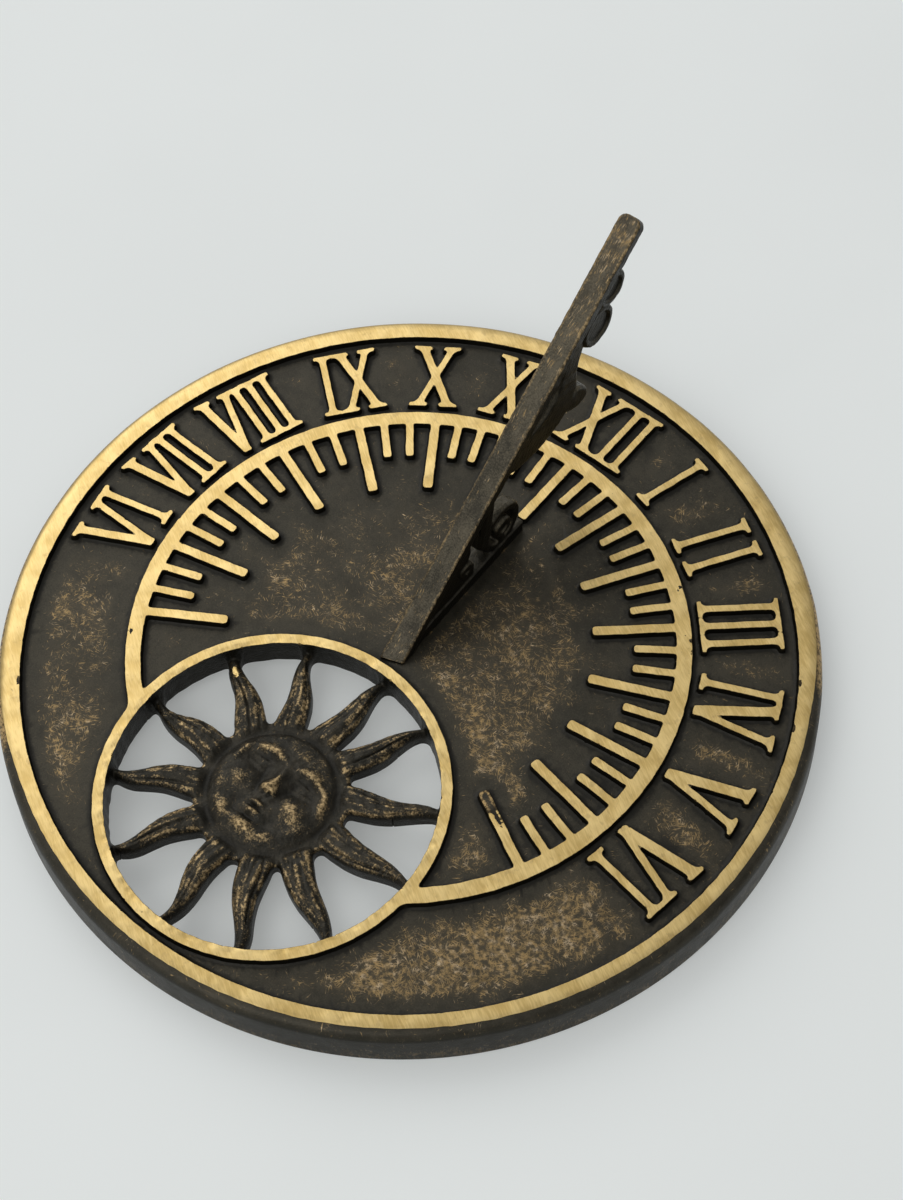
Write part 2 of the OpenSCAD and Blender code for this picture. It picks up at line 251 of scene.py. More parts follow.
@dataclass
class SheetMaker:
    """Lays cells over a plane and moves their corners onto the outlines that they should follow."""

    step: float
    low: tuple[float, float]
    high: tuple[float, float]
    metal: Distance
    outlines: Sequence[tuple[Distance, float]]
    levels: int = 3
    margin: float = 0.55
    fine: Optional[Distance] = None

    def _near(self, places: Points) -> np.ndarray:
        """Give the distance to the nearest outline, or to the edge of the metal.

        Args:
            places: Places, one per row.

        Returns:
            The distances, none of them negative.
        """
        nearest = np.abs(self.metal(places))
        for distance, value in self.outlines:
            nearest = np.minimum(nearest, np.abs(distance(places) - value))
        return nearest

    def _cells(self) -> list[tuple[Points, int]]:
        """Split cells again and again where outlines run, and drop those outside the metal.

        Returns:
            For each size, the lattice places where its cells begin, and the size.
        """
        size = 2 ** self.levels
        first = np.floor(np.array(self.low) / self.step / size).astype(int)
        last = np.ceil(np.array(self.high) / self.step / size).astype(int)
        i, j = np.meshgrid(np.arange(first[0], last[0]), np.arange(first[1], last[1]), indexing="ij")
        cells = np.stack([i.ravel(), j.ravel()], -1) * size
        made = []
        while True:
            middle = (cells + size / 2) * self.step
            reach = size * self.step * HALF_DIAGONAL
            cells = cells[self.metal(middle) < reach]
            if size == 1:
                made.append((cells, size))
                return made
            middle = (cells + size / 2) * self.step
            close = self._near(middle) < reach + self.margin * self.step
            if self.fine:
                close |= self.fine(middle) < reach
            made.append((cells[~close], size))
            size //= 2
            corners = np.array([[0, 0], [1, 0], [0, 1], [1, 1]]) * size
            cells = (cells[close][:, None, :] + corners[None]).reshape(-1, 2)

    def _settle(self, places: Points) -> Points:
        """Move corners that lie close to an outline onto it.

        Args:
            places: The corners, one per row.

        Returns:
            The same corners, moved.
        """
        targets = [(self.metal, 0.0), *self.outlines]
        free = np.ones(len(places), bool)
        for distance, value in targets:
            reach = 0.5 * self.step
            pick = free & (np.abs(distance(places) - value) < reach)
            moved = places[pick]
            for _ in range(2):
                away = distance(moved) - value
                slope = slope_at(distance, moved, NUDGE * self.step)
                length = np.maximum((slope ** 2).sum(1), LEAST_SLOPE)
                move = slope * (away / length)[:, None]
                size = np.maximum(np.linalg.norm(move, axis=1) / reach, 1.0)
                moved = moved - move / size[:, None]
            places[pick] = moved
            free[pick] = False
        return places

    def make(self) -> Sheet:
        """Lay the cells, settle their corners, and cut the sheet at the edge of the metal.

        Returns:
            The sheet, with triangles along its outlines and larger faces between them.
        """
        groups = self._cells()

        def key(i: np.ndarray, j: np.ndarray) -> np.ndarray:
            """Number lattice places, row by row."""
            return (i + STRIDE // 2) * STRIDE + j + STRIDE // 2

        corner_keys = []
        for cells, size in groups:
            for di, dj in ((0, 0), (size, 0), (size, size), (0, size)):
                corner_keys.append(key(cells[:, 0] + di, cells[:, 1] + dj))
        keys = np.unique(np.concatenate(corner_keys))
        grid = np.stack([keys // STRIDE - STRIDE // 2, keys % STRIDE - STRIDE // 2], -1)
        places = self._settle(grid * self.step)
        inside = self.metal(places)
        level = np.zeros(len(places))
        for distance, value in self.outlines:
            level += np.sign(np.round((distance(places) - value) / (ON_OUTLINE * self.step)))

        def find(i: np.ndarray, j: np.ndarray) -> tuple[np.ndarray, np.ndarray]:
            """Look lattice places up among the corners.

            Args:
                i: Lattice places along X.
                j: Lattice places along Y.

            Returns:
                The corners' numbers, and whether there is one at each place.
            """
            wanted = key(i, j)
            at = np.minimum(np.searchsorted(keys, wanted), len(keys) - 1)
            return at, keys[at] == wanted

        faces: list[tuple[int, ...]] = []
        small, _ = groups[-1]
        corners = ((0, 0), (1, 0), (1, 1), (0, 1))
        a, b, c, d = (find(small[:, 0] + di, small[:, 1] + dj)[0] for di, dj in corners)

        def folded(*corners: np.ndarray) -> np.ndarray:
            """Tell where a triangle has next to no area, or lies the wrong way up.

            Args:
                *corners: Numbers of the triangles' three corners.

            Returns:
                True where a triangle is folded.
            """
            p, q, r = (places[corner] for corner in corners)
            area = (q[:, 0] - p[:, 0]) * (r[:, 1] - p[:, 1]) - (q[:, 1] - p[:, 1]) * (r[:, 0] - p[:, 0])
            return area < FOLDED_AREA * self.step ** 2

        ac, bd = (
            np.abs(level[p] - level[q]) + np.linalg.norm(places[p] - places[q], axis=1) * LENGTH_COUNTS
            for p, q in ((a, c), (b, d)))
        ac += FOLD_COUNTS * (folded(a, b, c) | folded(a, c, d))
        bd += FOLD_COUNTS * (folded(a, b, d) | folded(b, c, d))
        use_ac = (ac <= bd)[:, None]
        one = np.where(use_ac, np.stack([a, b, c], -1), np.stack([a, b, d], -1))
        two = np.where(use_ac, np.stack([a, c, d], -1), np.stack([b, c, d], -1))
        triangles = np.concatenate([one, two])
        keep = (inside[triangles] < ON_EDGE * self.step).all(1)
        triangles = triangles[keep]
        keep = self.metal(places[triangles].mean(1)) < 0
        faces.extend(map(tuple, triangles[keep].tolist()))
        for cells, size in groups[:-1]:
            walk = [(k, 0) for k in range(size)] + [(size, k) for k in range(size)]
            walk += [(size - k, size) for k in range(size)] + [(0, size - k) for k in range(size)]
            hits = [find(cells[:, 0] + di, cells[:, 1] + dj) for di, dj in walk]
            index = np.stack([h[0] for h in hits], -1)
            there = np.stack([h[1] for h in hits], -1)
            whole = self.metal((cells + size / 2) * self.step) < 0
            for row, seen in zip(index[whole], there[whole]):
                faces.append(tuple(row[seen].tolist()))
        used = np.unique(np.concatenate([np.array(f) for f in faces]))
        renumber = np.full(len(places), -1)
        renumber[used] = np.arange(len(used))
        lookup = renumber.tolist()
        return Sheet(places[used], [tuple(lookup[v] for v in f) for f in faces])


@dataclass
class MeshParts:
    """Points, faces and per-point values of a mesh that is being put together."""

    points: list[Points] = field(default_factory=list)
    faces: list[tuple[int, ...]] = field(default_factory=list)
    values: dict[str, list[np.ndarray]] = field(default_factory=dict)
    count: int = 0

    def add(self, points: Points, **values: np.ndarray | float) -> np.ndarray:
        """Add points with their values, and return their numbers.

        Args:
            points: Places, one per row.
            **values: Values by name, one for each point or for all.

        Returns:
            The points' numbers.
        """
        self.points.append(np.asarray(points, float))
        for name, value in values.items():
            self.values.setdefault(name, []).append(np.broadcast_to(value, (len(points),)).astype(float))
        numbers = np.arange(self.count, self.count + len(points))
        self.count += len(points)
        return numbers

    def join(self, first: np.ndarray, second: np.ndarray) -> None:
        """Join two closed rings of as many points with four-sided faces."""
        next_first, next_second = np.roll(first, -1), np.roll(second, -1)
        self.faces.extend(zip(first.tolist(), second.tolist(), next_second.tolist(), next_first.tolist()))

    def zip_rings(self, inner: np.ndarray, outer: np.ndarray) -> None:
        """Join two closed rings round the origin, of any number of points, with triangles.

        Args:
            inner: Numbers of the inner ring's points, anticlockwise.
            outer: Numbers of the outer ring's points, anticlockwise.
        """
        places = np.concatenate(self.points)

        def unrolled(ring: np.ndarray) -> tuple[np.ndarray, np.ndarray]:
            """Start the ring at the lowest angle and give its angles.

            Args:
                ring: Numbers of the ring's points.

            Returns:
                The numbers and the angles, in order.
            """
            angle = np.arctan2(places[ring, 1], places[ring, 0])
            start = int(np.argmin(angle))
            return np.roll(ring, -start), np.roll(angle, -start)

        a, a_angle = unrolled(inner)
        b, b_angle = unrolled(outer)
        i = j = 0
        while i < len(a) or j < len(b):
            next_a = a_angle[i + 1] if i + 1 < len(a) else a_angle[0] + 2 * math.pi
            next_b = b_angle[j + 1] if j + 1 < len(b) else b_angle[0] + 2 * math.pi
            here_a, here_b = int(a[i % len(a)]), int(b[j % len(b)])
            if j >= len(b) or (i < len(a) and next_a <= next_b):
                self.faces.append((here_a, here_b, int(a[(i + 1) % len(a)])))
                i += 1
            else:
                self.faces.append((here_a, here_b, int(b[(j + 1) % len(b)])))
                j += 1

    def fill(self, loops: Sequence[np.ndarray]) -> None:
        """Close a flat bottom between an outer loop and the loops of its holes, facing down.

        Args:
            loops: Numbers of each loop's points, with the outer loop first.
        """
        places = np.concatenate(self.points)
        outlines = [[Vector(places[v]) for v in loop] for loop in loops]
        flat = np.concatenate([np.asarray(loop) for loop in loops])
        for tri in tessellate_polygon(outlines):
            a, b, c = (int(flat[k]) for k in tri)
            p, q, r = places[a], places[b], places[c]
            area = (q[0] - p[0]) * (r[1] - p[1]) - (q[1] - p[1]) * (r[0] - p[0])
            self.faces.append((a, c, b) if area > 0 else (a, b, c))

    def make(self, name: str, sharp_angle: float = 38.0) -> bpy.types.Object:
        """Make the object, in metres, with its values as attributes.

        Args:
            name: Name of the piece.
            sharp_angle: Angle between faces, in degrees, from which their edge is sharp.

        Returns:
            The new object, linked to the scene.
        """
        points = np.concatenate(self.points) * MM
        sizes = np.array([len(f) for f in self.faces], np.int32)
        corners = np.fromiter((v for f in self.faces for v in f), np.int32, int(sizes.sum()))
        mesh = bpy.data.meshes.new(name)
        mesh.vertices.add(len(points))
        mesh.vertices.foreach_set("co", points.astype(np.float32).ravel())
        mesh.loops.add(len(corners))
        mesh.loops.foreach_set("vertex_index", corners)
        mesh.polygons.add(len(sizes))
        starts = np.concatenate([[0], np.cumsum(sizes)[:-1]])
        mesh.polygons.foreach_set("loop_start", starts.astype(np.int32))
        mesh.polygons.foreach_set("loop_total", sizes)
        mesh.update(calc_edges=True)
        mesh.validate()
        mesh.polygons.foreach_set("use_smooth", np.ones(len(mesh.polygons), bool))
        mesh.set_sharp_from_angle(angle=math.radians(sharp_angle))
        for key, rows in self.values.items():
            write_value(mesh, key, np.concatenate(rows))
        piece = bpy.data.objects.new(name, mesh)
        bpy.context.scene.collection.objects.link(piece)
        return piece


def write_value(mesh: bpy.types.Mesh, name: str, values: np.ndarray) -> None:
    """Keep one value for each point of a mesh, for its material to read."""
    layer = mesh.attributes.get(name) or mesh.attributes.new(name, "FLOAT", "POINT")
    layer.data.foreach_set("value", values.astype(np.float32))


def write_rubbing(piece: bpy.types.Object, passes: int, height: float) -> None:
    """Work out which places stand proud of those around them, where a rag rubs the patina off, and which
    lie sunk, which the material darkens with patina and painted shade.

    Args:
        piece: Object whose mesh gets the value, named "rub".
        passes: How many times the shape is smoothed before it is compared.
        height: Height in millimetres that counts as fully rubbed.
    """
    mesh = piece.data
    count = len(mesh.vertices)
    places = np.empty(count * 3, np.float32)
    mesh.vertices.foreach_get("co", places)
    places = places.reshape(-1, 3).astype(float)
    normals = np.empty(count * 3, np.float32)
    mesh.vertices.foreach_get("normal", normals)
    normals = normals.reshape(-1, 3)
    ends = np.empty(len(mesh.edges) * 2, np.int32)
    mesh.edges.foreach_get("vertices", ends)
    a, b = ends.reshape(-1, 2).T
    neighbours = np.bincount(a, minlength=count) + np.bincount(b, minlength=count)
    smoothed = places.copy()
    for _ in range(passes):
        total = np.stack([
            np.bincount(a, smoothed[b, k], count) + np.bincount(b, smoothed[a, k], count) for k in range(3)
        ], -1)
        smoothed = 0.5 * smoothed + 0.5 * total / np.maximum(neighbours, 1)[:, None]
    proud = ((places - smoothed) * normals).sum(1) / MM
    write_value(mesh, "rub", np.clip(proud / height, -1.0, 1.0))


# How far outside a raised form's top edge its wall begins, so that the edge itself stays flat
WALL_FROM = 0.03


def relief_height(edge: np.ndarray, drop: float, fillet: float) -> np.ndarray:
    """Share of a raised form's height that is left at a distance outside its top edge.

    Args:
        edge: Distance outside the top edge, negative on top.
        drop: Width of the wall, seen from above.
        fillet: Width of the fillet at the wall's foot.

    Returns:
        One on top, falling steeply over the wall and softly over the fillet to zero.
    """
    low_share = 0.14
    wall = 1 - (1 - low_share) * np.clip(edge / drop, 0.0, 1.0)
    foot = low_share * (1 - smooth_step(0.0, 1.0, (edge - drop) / fillet))
    return np.where(edge < drop, wall, foot)


class Letter(Enum):
    """The letters that Roman numerals are made of."""

    I = "I"
    V = "V"
    X = "X"


@dataclass(frozen=True)
class Numeral:
    """One numeral: its angle from noon, its letters with their places, and its thick strokes."""

    angle: float
    letters: tuple[tuple[Letter, float, float], ...]
    thick: float


def numeral(angle: float, *letters: tuple[str, float, float], thick: float = 2.8) -> Numeral:
    """Write a numeral down in short form, as letter, place and distance to the letter's right head."""
    return Numeral(angle, tuple((Letter(name), place, spread) for name, place, spread in letters), thick)


NUMERALS = (
    numeral(-102.2, ("V", 0, 11.6), ("I", 15.9, 0)),
    numeral(-87.0, ("V", 0, 9.4), ("I", 13, 0), ("I", 18, 0)),
    numeral(-69.9, ("V", 0, 8.8), ("I", 12.4, 0), ("I", 17.3, 0), ("I", 22.2, 0)),
    numeral(-49.5, ("I", 0, 0), ("X", 5.7, 9.4)),
    numeral(-33.3, ("X", 0, 10.2)),
    numeral(-17.3, ("X", 0, 9.4), ("I", 15, 0)),
    numeral(1.4, ("X", 0, 9.6), ("I", 15.4, 0), ("I", 21.2, 0)),
    numeral(18.0, ("I", 0, 0)),
    numeral(33.8, ("I", 0, 0), ("I", 9.1, 0)),
    numeral(50.2, ("I", 0, 0), ("I", 6.2, 0), ("I", 12.4, 0)),
    numeral(67.4, ("I", 0, 0), ("V", 4.6, 11.1), thick=3.3),
    numeral(83.5, ("V", 0, 11.4), thick=3.4),
    numeral(99.8, ("V", 0, 11.2), ("I", 16.8, 0), thick=3.4),
)


@dataclass
class NumeralRing:
    """The raised numerals that stand round the hour scale.

    Their feet stand on a circle of foot_r. Strokes are drawn smaller by corner and then grown by as
    much, which rounds them. Places farther than near from a numeral aren't measured to its strokes.
    """

    foot_r: float = 89.3
    height: float = 25.1
    thin: float = 2.2
    serif_reach: float = 2.95
    serif_edge: float = 1.0
    serif_rise: float = 3.0
    corner: float = 0.35
    fillet: float = 0.7
    near: float = 5.0
    bracket_steps: int = 4

    def _stroke(self, foot_x: float, head_x: float, width: float, foot: bool = True) -> Points:
        """Give a stroke's outline from its foot to its head, with a serif at its head.

        Args:
            foot_x: Place of the foot.
            head_x: Place of the head.
            width: Width of the stroke.
            foot: Whether the foot has a serif too.

        Returns:
            The outline's points.
        """
        inset = self.corner
        half = width / 2 - inset
        reach = self.serif_reach - inset
        turns = np.radians(np.linspace(0, 90, self.bracket_steps + 1))
        side = []
        slope = (head_x - foot_x) / self.height
        if foot:
            side.append((reach, inset, foot_x))
            for a in turns:
                y = self.serif_edge + (self.serif_rise - self.serif_edge) * (1 - math.cos(a))
                side.append((half + (reach - half) * (1 - math.sin(a)), y, foot_x + slope * y))
        else:
            side.append((half, inset, foot_x))
        for a in turns[::-1]:
            y = self.height - self.serif_edge - (self.serif_rise - self.serif_edge) * (1 - math.cos(a))
            side.append((half + (reach - half) * (1 - math.sin(a)), y, foot_x + slope * y))
        side.append((reach, self.height - inset, head_x))
        right = [(x0 + x, y) for x, y, x0 in side]
        left = [(x0 - x, y) for x, y, x0 in side]
        return np.array(right + left[::-1])

    def outlines(self, entry: Numeral) -> list[Points]:
        """Give the outlines of a numeral's strokes, from its left edge.

        Args:
            entry: The numeral.

        Returns:
            One outline for each stroke.
        """
        strokes = []
        for letter, x, spread in entry.letters:
            if letter is Letter.I:
                strokes.append(self._stroke(x, x, self.thin))
            elif letter is Letter.V:
                tip = x + spread / 2
                strokes.append(self._stroke(tip, x, entry.thick, foot=False))
                strokes.append(self._stroke(tip, x + spread, self.thin, foot=False))
            else:
                strokes.append(self._stroke(x + spread, x, entry.thick))
                strokes.append(self._stroke(x, x + spread, self.thin))
        return strokes

    def blend_into(self, points: Points, edge: np.ndarray) -> np.ndarray:
        """Add the numerals to the distances to the raised forms.

        Args:
            points: Places on the plate.
            edge: Distances so far.

        Returns:
            The distances with the numerals.
        """
        middle_r = self.foot_r + self.height / 2
        for entry in NUMERALS:
            last = entry.letters[-1]
            width = last[1] + last[2]
            local = turned(points, entry.angle)
            reach = math.hypot(width / 2 + self.serif_reach, self.height / 2)
            away = np.hypot(local[:, 0], local[:, 1] - middle_r) - reach
            close = away < self.near
            edge = np.minimum(edge, np.where(close, np.inf, away))
            here = local[close] + [width / 2, -self.foot_r]
            found = edge[close]
            for outline in self.outlines(entry):
                found = smooth_min(found, outline_distance(here, outline) - self.corner, self.fillet)
            edge[close] = found
        return edge


@dataclass
class HourScale:
    """The ring that carries the hour marks, and the marks that run in from it.

    hours gives the angles of the long marks, and between tells how many short ones stand between
    two of them.
    """

    outer_r: float = 86.7
    width: float = 4.7
    hour_r: float = 56.5
    hour_width: float = 3.1
    short_r: float = 69.0
    short_width: float = 2.6
    between: int = 2
    ring_fillet: float = 1.6
    fillet: float = 0.9
    taper: float = 0.12
    end_round: float = 0.30
    near: float = 9.0
    hours: tuple[float, ...] = (-120, -102.3, -86.0, -68.3, -49.9, -32.2, -16.0, 0.9,
                                17.4, 33.7, 50.2, 67.1, 83.9, 100.7, 118.8)

    def marks(self) -> list[tuple[float, float, float]]:
        """List the marks, each as its angle, the radius where it ends and its width.

        Returns:
            The marks, clockwise.
        """
        found = []
        for k, angle in enumerate(self.hours):
            found.append((angle, self.hour_r, self.hour_width))
            if k + 1 < len(self.hours):
                step = (self.hours[k + 1] - angle) / (self.between + 1)
                found.extend((angle + step * (n + 1), self.short_r, self.short_width)
                             for n in range(self.between))
        return found

    def blend_into(self, points: Points, edge: np.ndarray, ring_cut: np.ndarray) -> np.ndarray:
        """Add the scale to the distances to the raised forms.

        Args:
            points: Places on the plate.
            edge: Distances so far.
            ring_cut: Distance outside the sun's ring, where the scale stops.

        Returns:
            The distances with the scale.
        """
        radius = np.linalg.norm(points, axis=1)
        middle = self.outer_r - self.width / 2
        ring = np.maximum(np.abs(radius - middle) - self.width / 2, -ring_cut)
        edge = smooth_min(edge, ring, self.ring_fillet)
        for angle, end_r, width in self.marks():
            local = turned(points, angle)
            close = (np.abs(local[:, 0]) < self.near) & (local[:, 1] > end_r - self.near)
            close &= (local[:, 1] > 0) & (radius < self.outer_r + self.near)
            here = local[close]
            length = middle - end_r
            taper = self.taper * (here[:, 1] - end_r) / length
            mark = bar_distance(here[:, 0], here[:, 1] - end_r - length / 2,
                                (width / 2, length / 2), self.end_round * width) + taper
            mark = np.maximum(mark, -ring_cut[close])
            edge[close] = smooth_min(edge[close], mark, self.fillet)
        return edge


@dataclass(frozen=True)
class WornPlace:
    """A place on the bright faces that the linishing didn't reach: where it is and how large."""

    angle: float
    radius: float
    across: float
    along: float


WORN_PLACES = (
    WornPlace(118.9, 59.5, 2.6, 4.6),
    WornPlace(118.5, 66.0, 0.6, 3.4),
    WornPlace(40.5, 85.9, 0.7, 0.4),
    WornPlace(41.4, 85.0, 0.5, 0.3),
    WornPlace(52.3, 84.4, 0.5, 0.5),
    WornPlace(53.4, 86.2, 0.6, 0.4),
    WornPlace(54.6, 85.3, 0.4, 0.4),
    WornPlace(56.2, 86.4, 0.5, 0.3),
    WornPlace(-125.0, 85.6, 1.1, 0.5),
    WornPlace(-16.2, 84.0, 1.4, 0.3),
    WornPlace(60.5, 119.4, 1.2, 0.4),
    WornPlace(68.0, 119.2, 1.6, 0.5),
    WornPlace(-134.0, 119.3, 1.5, 0.4),
)


@dataclass
class DialPlate:
    """The cast plate: skirt, bright rim, sunken field, hour scale and numerals.

    The rim's inner edge drifts outwards by rim_drift towards drift_angle. The linishing ends round
    bright_r, where the shoulder droops, and runs further over it towards far_angle. Up to sheet_r
    the plate is laid as a sheet, and outside it is turned from a section. Beside the gnomon's rail
    the field counts as rail_clears times as far off, since rags reach it better there.
    """

    foot_r: float
    top_z: float
    rim_r: float = 123.3
    rim_w: float = 4.7
    rim_drift: float = 0.45
    drift_angle: float = 138.0
    bright_r: float = 123.0
    droop: float = 0.28
    far_angle: float = -42.0
    relief: float = 2.3
    plate_t: float = 4.5
    skirt_t: float = 5.0
    wall: float = 0.5
    foot_fillet: float = 0.8
    rim_fillet: float = 1.2
    linish_inset: float = 0.02
    sheet_r: float = 121.0
    sun_y: float = -64.0
    sun_r: float = 52.85
    sun_w: float = 3.3
    sun_wall_h: float = 10.0
    screw_ys: tuple[float, float] = (7.0, 44.0)
    screw_hole_r: float = 2.25
    rail_middle: float = 24.0
    rail_half: tuple[float, float] = (3.2, 31.0)
    rail_clears: float = 1.8
    near: float = 9.0
    many_points: int = 100
    sections: int = 384
    cell: float = 0.5
    scale: HourScale = field(default_factory=HourScale)
    numerals: NumeralRing = field(default_factory=NumeralRing)

    @property
    def field_z(self) -> float:
        """Height of the sunken field."""
        return self.top_z - self.relief

    @property
    def under_z(self) -> float:
        """Height of the plate's underside."""
        return self.field_z - self.plate_t

    @property
    def seam_r(self) -> float:
        """Radius round the sun's centre at which the sun's own casting starts."""
        return self.sun_r - self.sun_w / 2

    def _from_sun(self, points: Points) -> np.ndarray:
        """Measure from the sun's centre."""
        return np.hypot(points[:, 0], points[:, 1] - self.sun_y)

    def edge(self, points: Points) -> np.ndarray:
        """Measure to the top edge of the raised forms, negative on top of them.

        Args:
            points: Places, one per row.

        Returns:
            The distances.
        """
        radius = np.linalg.norm(points, axis=1)
        sun = np.abs(self._from_sun(points) - self.seam_r) - self.sun_w / 2
        way = turned(points, self.drift_angle)[:, 1] / np.maximum(radius, 1.0)
        inner = self.rim_r - self.rim_w + self.rim_drift * (0.5 + way)
        distance = smooth_min(inner - radius, sun, self.rim_fillet)
        distance = self.scale.blend_into(points, distance, self._from_sun(points) - self.seam_r)
        distance = self.numerals.blend_into(points, distance)
        return distance + 0.05 * unevenness(points, 9.0, 3) + 0.02 * unevenness(points, 3.4, 4)

    def polish(self, points: Points, edge: np.ndarray) -> np.ndarray:
        """Measure to the edge of the linished faces, negative on them.

        Args:
            points: Places, one per row.
            edge: Distances to the raised forms' top edge.

        Returns:
            The distances.
        """
        bright = edge + self.linish_inset + 0.025 * unevenness(points, 2.4, 5)
        for place in WORN_PLACES:
            local = turned(points, place.angle)
            close = (np.abs(local[:, 0]) < self.near) & (np.abs(local[:, 1] - place.radius) < self.near)
            here = local[close] - [0, place.radius]
            size = np.hypot(here[:, 0] / place.across, here[:, 1] / place.along)
            spot = (size - 1) * min(place.across, place.along) + 0.12 * unevenness(here, 1.8, 6)
            bright[close] = np.maximum(bright[close], -spot)
        return bright

    def metal(self, points: Points) -> np.ndarray:
        """Measure to the edge of the part of the plate that is laid as a sheet.

        Args:
            points: Places, one per row.

        Returns:
            The distances.
        """
        distance = np.maximum(np.linalg.norm(points, axis=1) - self.sheet_r,
                              self.seam_r - self._from_sun(points))
        for y in self.screw_ys:
            distance = np.maximum(distance, self.screw_hole_r - np.hypot(points[:, 0], points[:, 1] - y))
        return distance

    def _open(self, points: Points, edge: np.ndarray) -> np.ndarray:
        """Measure how far a place on the field lies from what stands on it."""
        rail = bar_distance(points[:, 0], points[:, 1] - self.rail_middle, self.rail_half, 0.5)
        # Beside the rail the field stays darker: it is rubbed less there, and this also paints the gnomon's
        # shade on it.
        return np.minimum(edge, self.rail_clears * rail)

    def _profile(self) -> list[tuple[float, float]]:
        """Section of the rim, shoulder, skirt and foot, from the rim's flat inwards under the plate.

        The rows are drawn down the outside and up the inside, each as radius and height.

        Returns:
            The rows.
        """
        shoulder = self.foot_r - self.rim_r
        rows = [(self.bright_r - 1.1, self.top_z)]
        for inwards, share in ((0.7, 0.2), (0.3, 0.5), (0.0, 0.75)):
            rows.append((self.rim_r - inwards, self.top_z - self.droop * share))
        for turn in (80, 68, 54, 40, 26, 12, 0):
            a = math.radians(turn)
            low = shoulder * (1 - math.sin(a)) + self.droop * math.sin(a)
            rows.append((self.rim_r + (shoulder - 0.6) * math.cos(a), self.top_z - low))
        inner = self.foot_r - self.skirt_t
        rows += [(self.foot_r - 0.35, 8.0), (self.foot_r - 0.15, 4.0), (self.foot_r, 0.7)]
        rows += [(self.foot_r - 0.5, 0.0), (inner + 0.5, 0.0), (inner, 0.5)]
        rows += [(inner, self.under_z - 2.4), (inner - 0.8, self.under_z - 0.7)]
        rows += [(inner - 2.5, self.under_z)]
        return rows

    def build(self) -> bpy.types.Object:
        """Make the plate's mesh, a closed shell with its underside.

        Returns:
            The plate.
        """
        reach = self.sheet_r + 1
        maker = SheetMaker(self.cell, (-reach, -reach), (reach, reach), self.metal,
                           ((self.edge, 0.0), (self.edge, self.wall)))
        sheet = maker.make()
        edge = self.edge(sheet.points)
        share = relief_height(np.maximum(edge - WALL_FROM, 0), self.wall, self.foot_fillet)
        height = self.field_z + self.relief * share
        sunk = smooth_step(0.6, 5.0, edge)
        height = height + 0.09 * sunk * unevenness(sheet.points, 26.0, 8)
        parts = MeshParts()
        parts.add(np.column_stack([sheet.points, height]), edge=self.polish(sheet.points, edge),
                  open=self._open(sheet.points, edge), gleam=0.0)
        parts.faces.extend(sheet.faces)
        loops = sheet.loops()
        rim_loop = np.array(loops[0])
        sections = self.sections
        angles = np.arange(sections) * 2 * math.pi / sections
        ring_xy = np.column_stack([np.cos(angles), np.sin(angles)])
        previous = None
        outside = True
        for radius, z in self._profile():
            outside = outside and z > 0
            rough = 0.05 * unevenness(np.column_stack([ring_xy * radius, np.full(sections, z)]), 30.0, 9)
            flat_face = z > self.top_z - self.droop or z <= 0.0 or radius >= self.foot_r
            outward = radius + (0.0 if flat_face else 1.0) * (rough - 0.08)
            places = np.column_stack([ring_xy * np.reshape(outward, (-1, 1)), np.full(sections, z)])
            beyond = radius - self.bright_r + (self.top_z - z)
            far = smooth_step(-0.35, 0.05, turned(ring_xy, self.far_angle)[:, 1])
            bright = 6.0 * (beyond - 0.3 - 2.9 * far + 0.08 * unevenness(places, 3.0, 10))
            worn = -0.5 + 1.9 * far * smooth_step(9.5, 5.0, beyond)
            if outside:
                ring = parts.add(places, edge=bright, open=np.maximum(0.4 * beyond, 0.0), gleam=worn)
            else:
                ring = parts.add(places, edge=6.0, open=0.0, gleam=-0.5)
            if previous is None:
                parts.zip_rings(rim_loop, ring)
            else:
                parts.join(previous, ring)
            previous = ring
        holes = []
        sun_base = self.top_z - self.sun_wall_h
        outward = self.sun_r / self.seam_r
        ring_rows = ((1.0, self.top_z - 1.0), (1.0, sun_base), (outward, sun_base), (outward, self.under_z))
        for loop in loops[1:]:
            top = np.array(loop)
            places = sheet.points[top]
            round_sun = len(top) > self.many_points
            middle = np.array([0.0, self.sun_y]) if round_sun else places.mean(0)
            last = top
            for spread, z in ring_rows if round_sun else ((1.0, self.under_z),):
                spots = middle + (places - middle) * spread
                spots = np.column_stack([spots, np.full(len(top), z)])
                # The walls get an edge value that the material turns near black: painted shade on the walls
                # of the holes.
                ring = parts.add(spots, edge=0.6, open=0.0, gleam=-0.5)
                parts.join(last, ring)
                last = ring
            holes.append(last)
        parts.fill([previous, *holes])
        piece = parts.make("dial_field_casting")
        write_rubbing(piece, passes=6, height=0.25)
        return piece


@dataclass(frozen=True)
class Swelling:
    """A raised or sunken place on the face: its middle, its size, its height and its softness.

    Places and sizes are shares of the face's radius, with the forehead towards noon. The height
    is in millimetres. A swelling whose place isn't on the middle line is made on both sides.
    """

    x: float
    y: float
    wide: float
    tall: float
    height: float
    turn: float = 0.0

    def at(self, across: np.ndarray, along: np.ndarray) -> np.ndarray:
        """Give the height that this place adds.

        Args:
            across: Places across the face, as shares of its radius.
            along: Places along the face, in the same way.

        Returns:
            The heights in millimetres.
        """
        total = np.zeros(len(across))
        for side in ((-1, 1) if self.x else (1,)):
            x, y = across * side - self.x, along - self.y
            c, s = math.cos(math.radians(self.turn)), math.sin(math.radians(self.turn))
            far = ((x * c + y * s) / self.wide) ** 2 + ((y * c - x * s) / self.tall) ** 2
            total += self.height * np.exp(-1.2 * far)
        return total


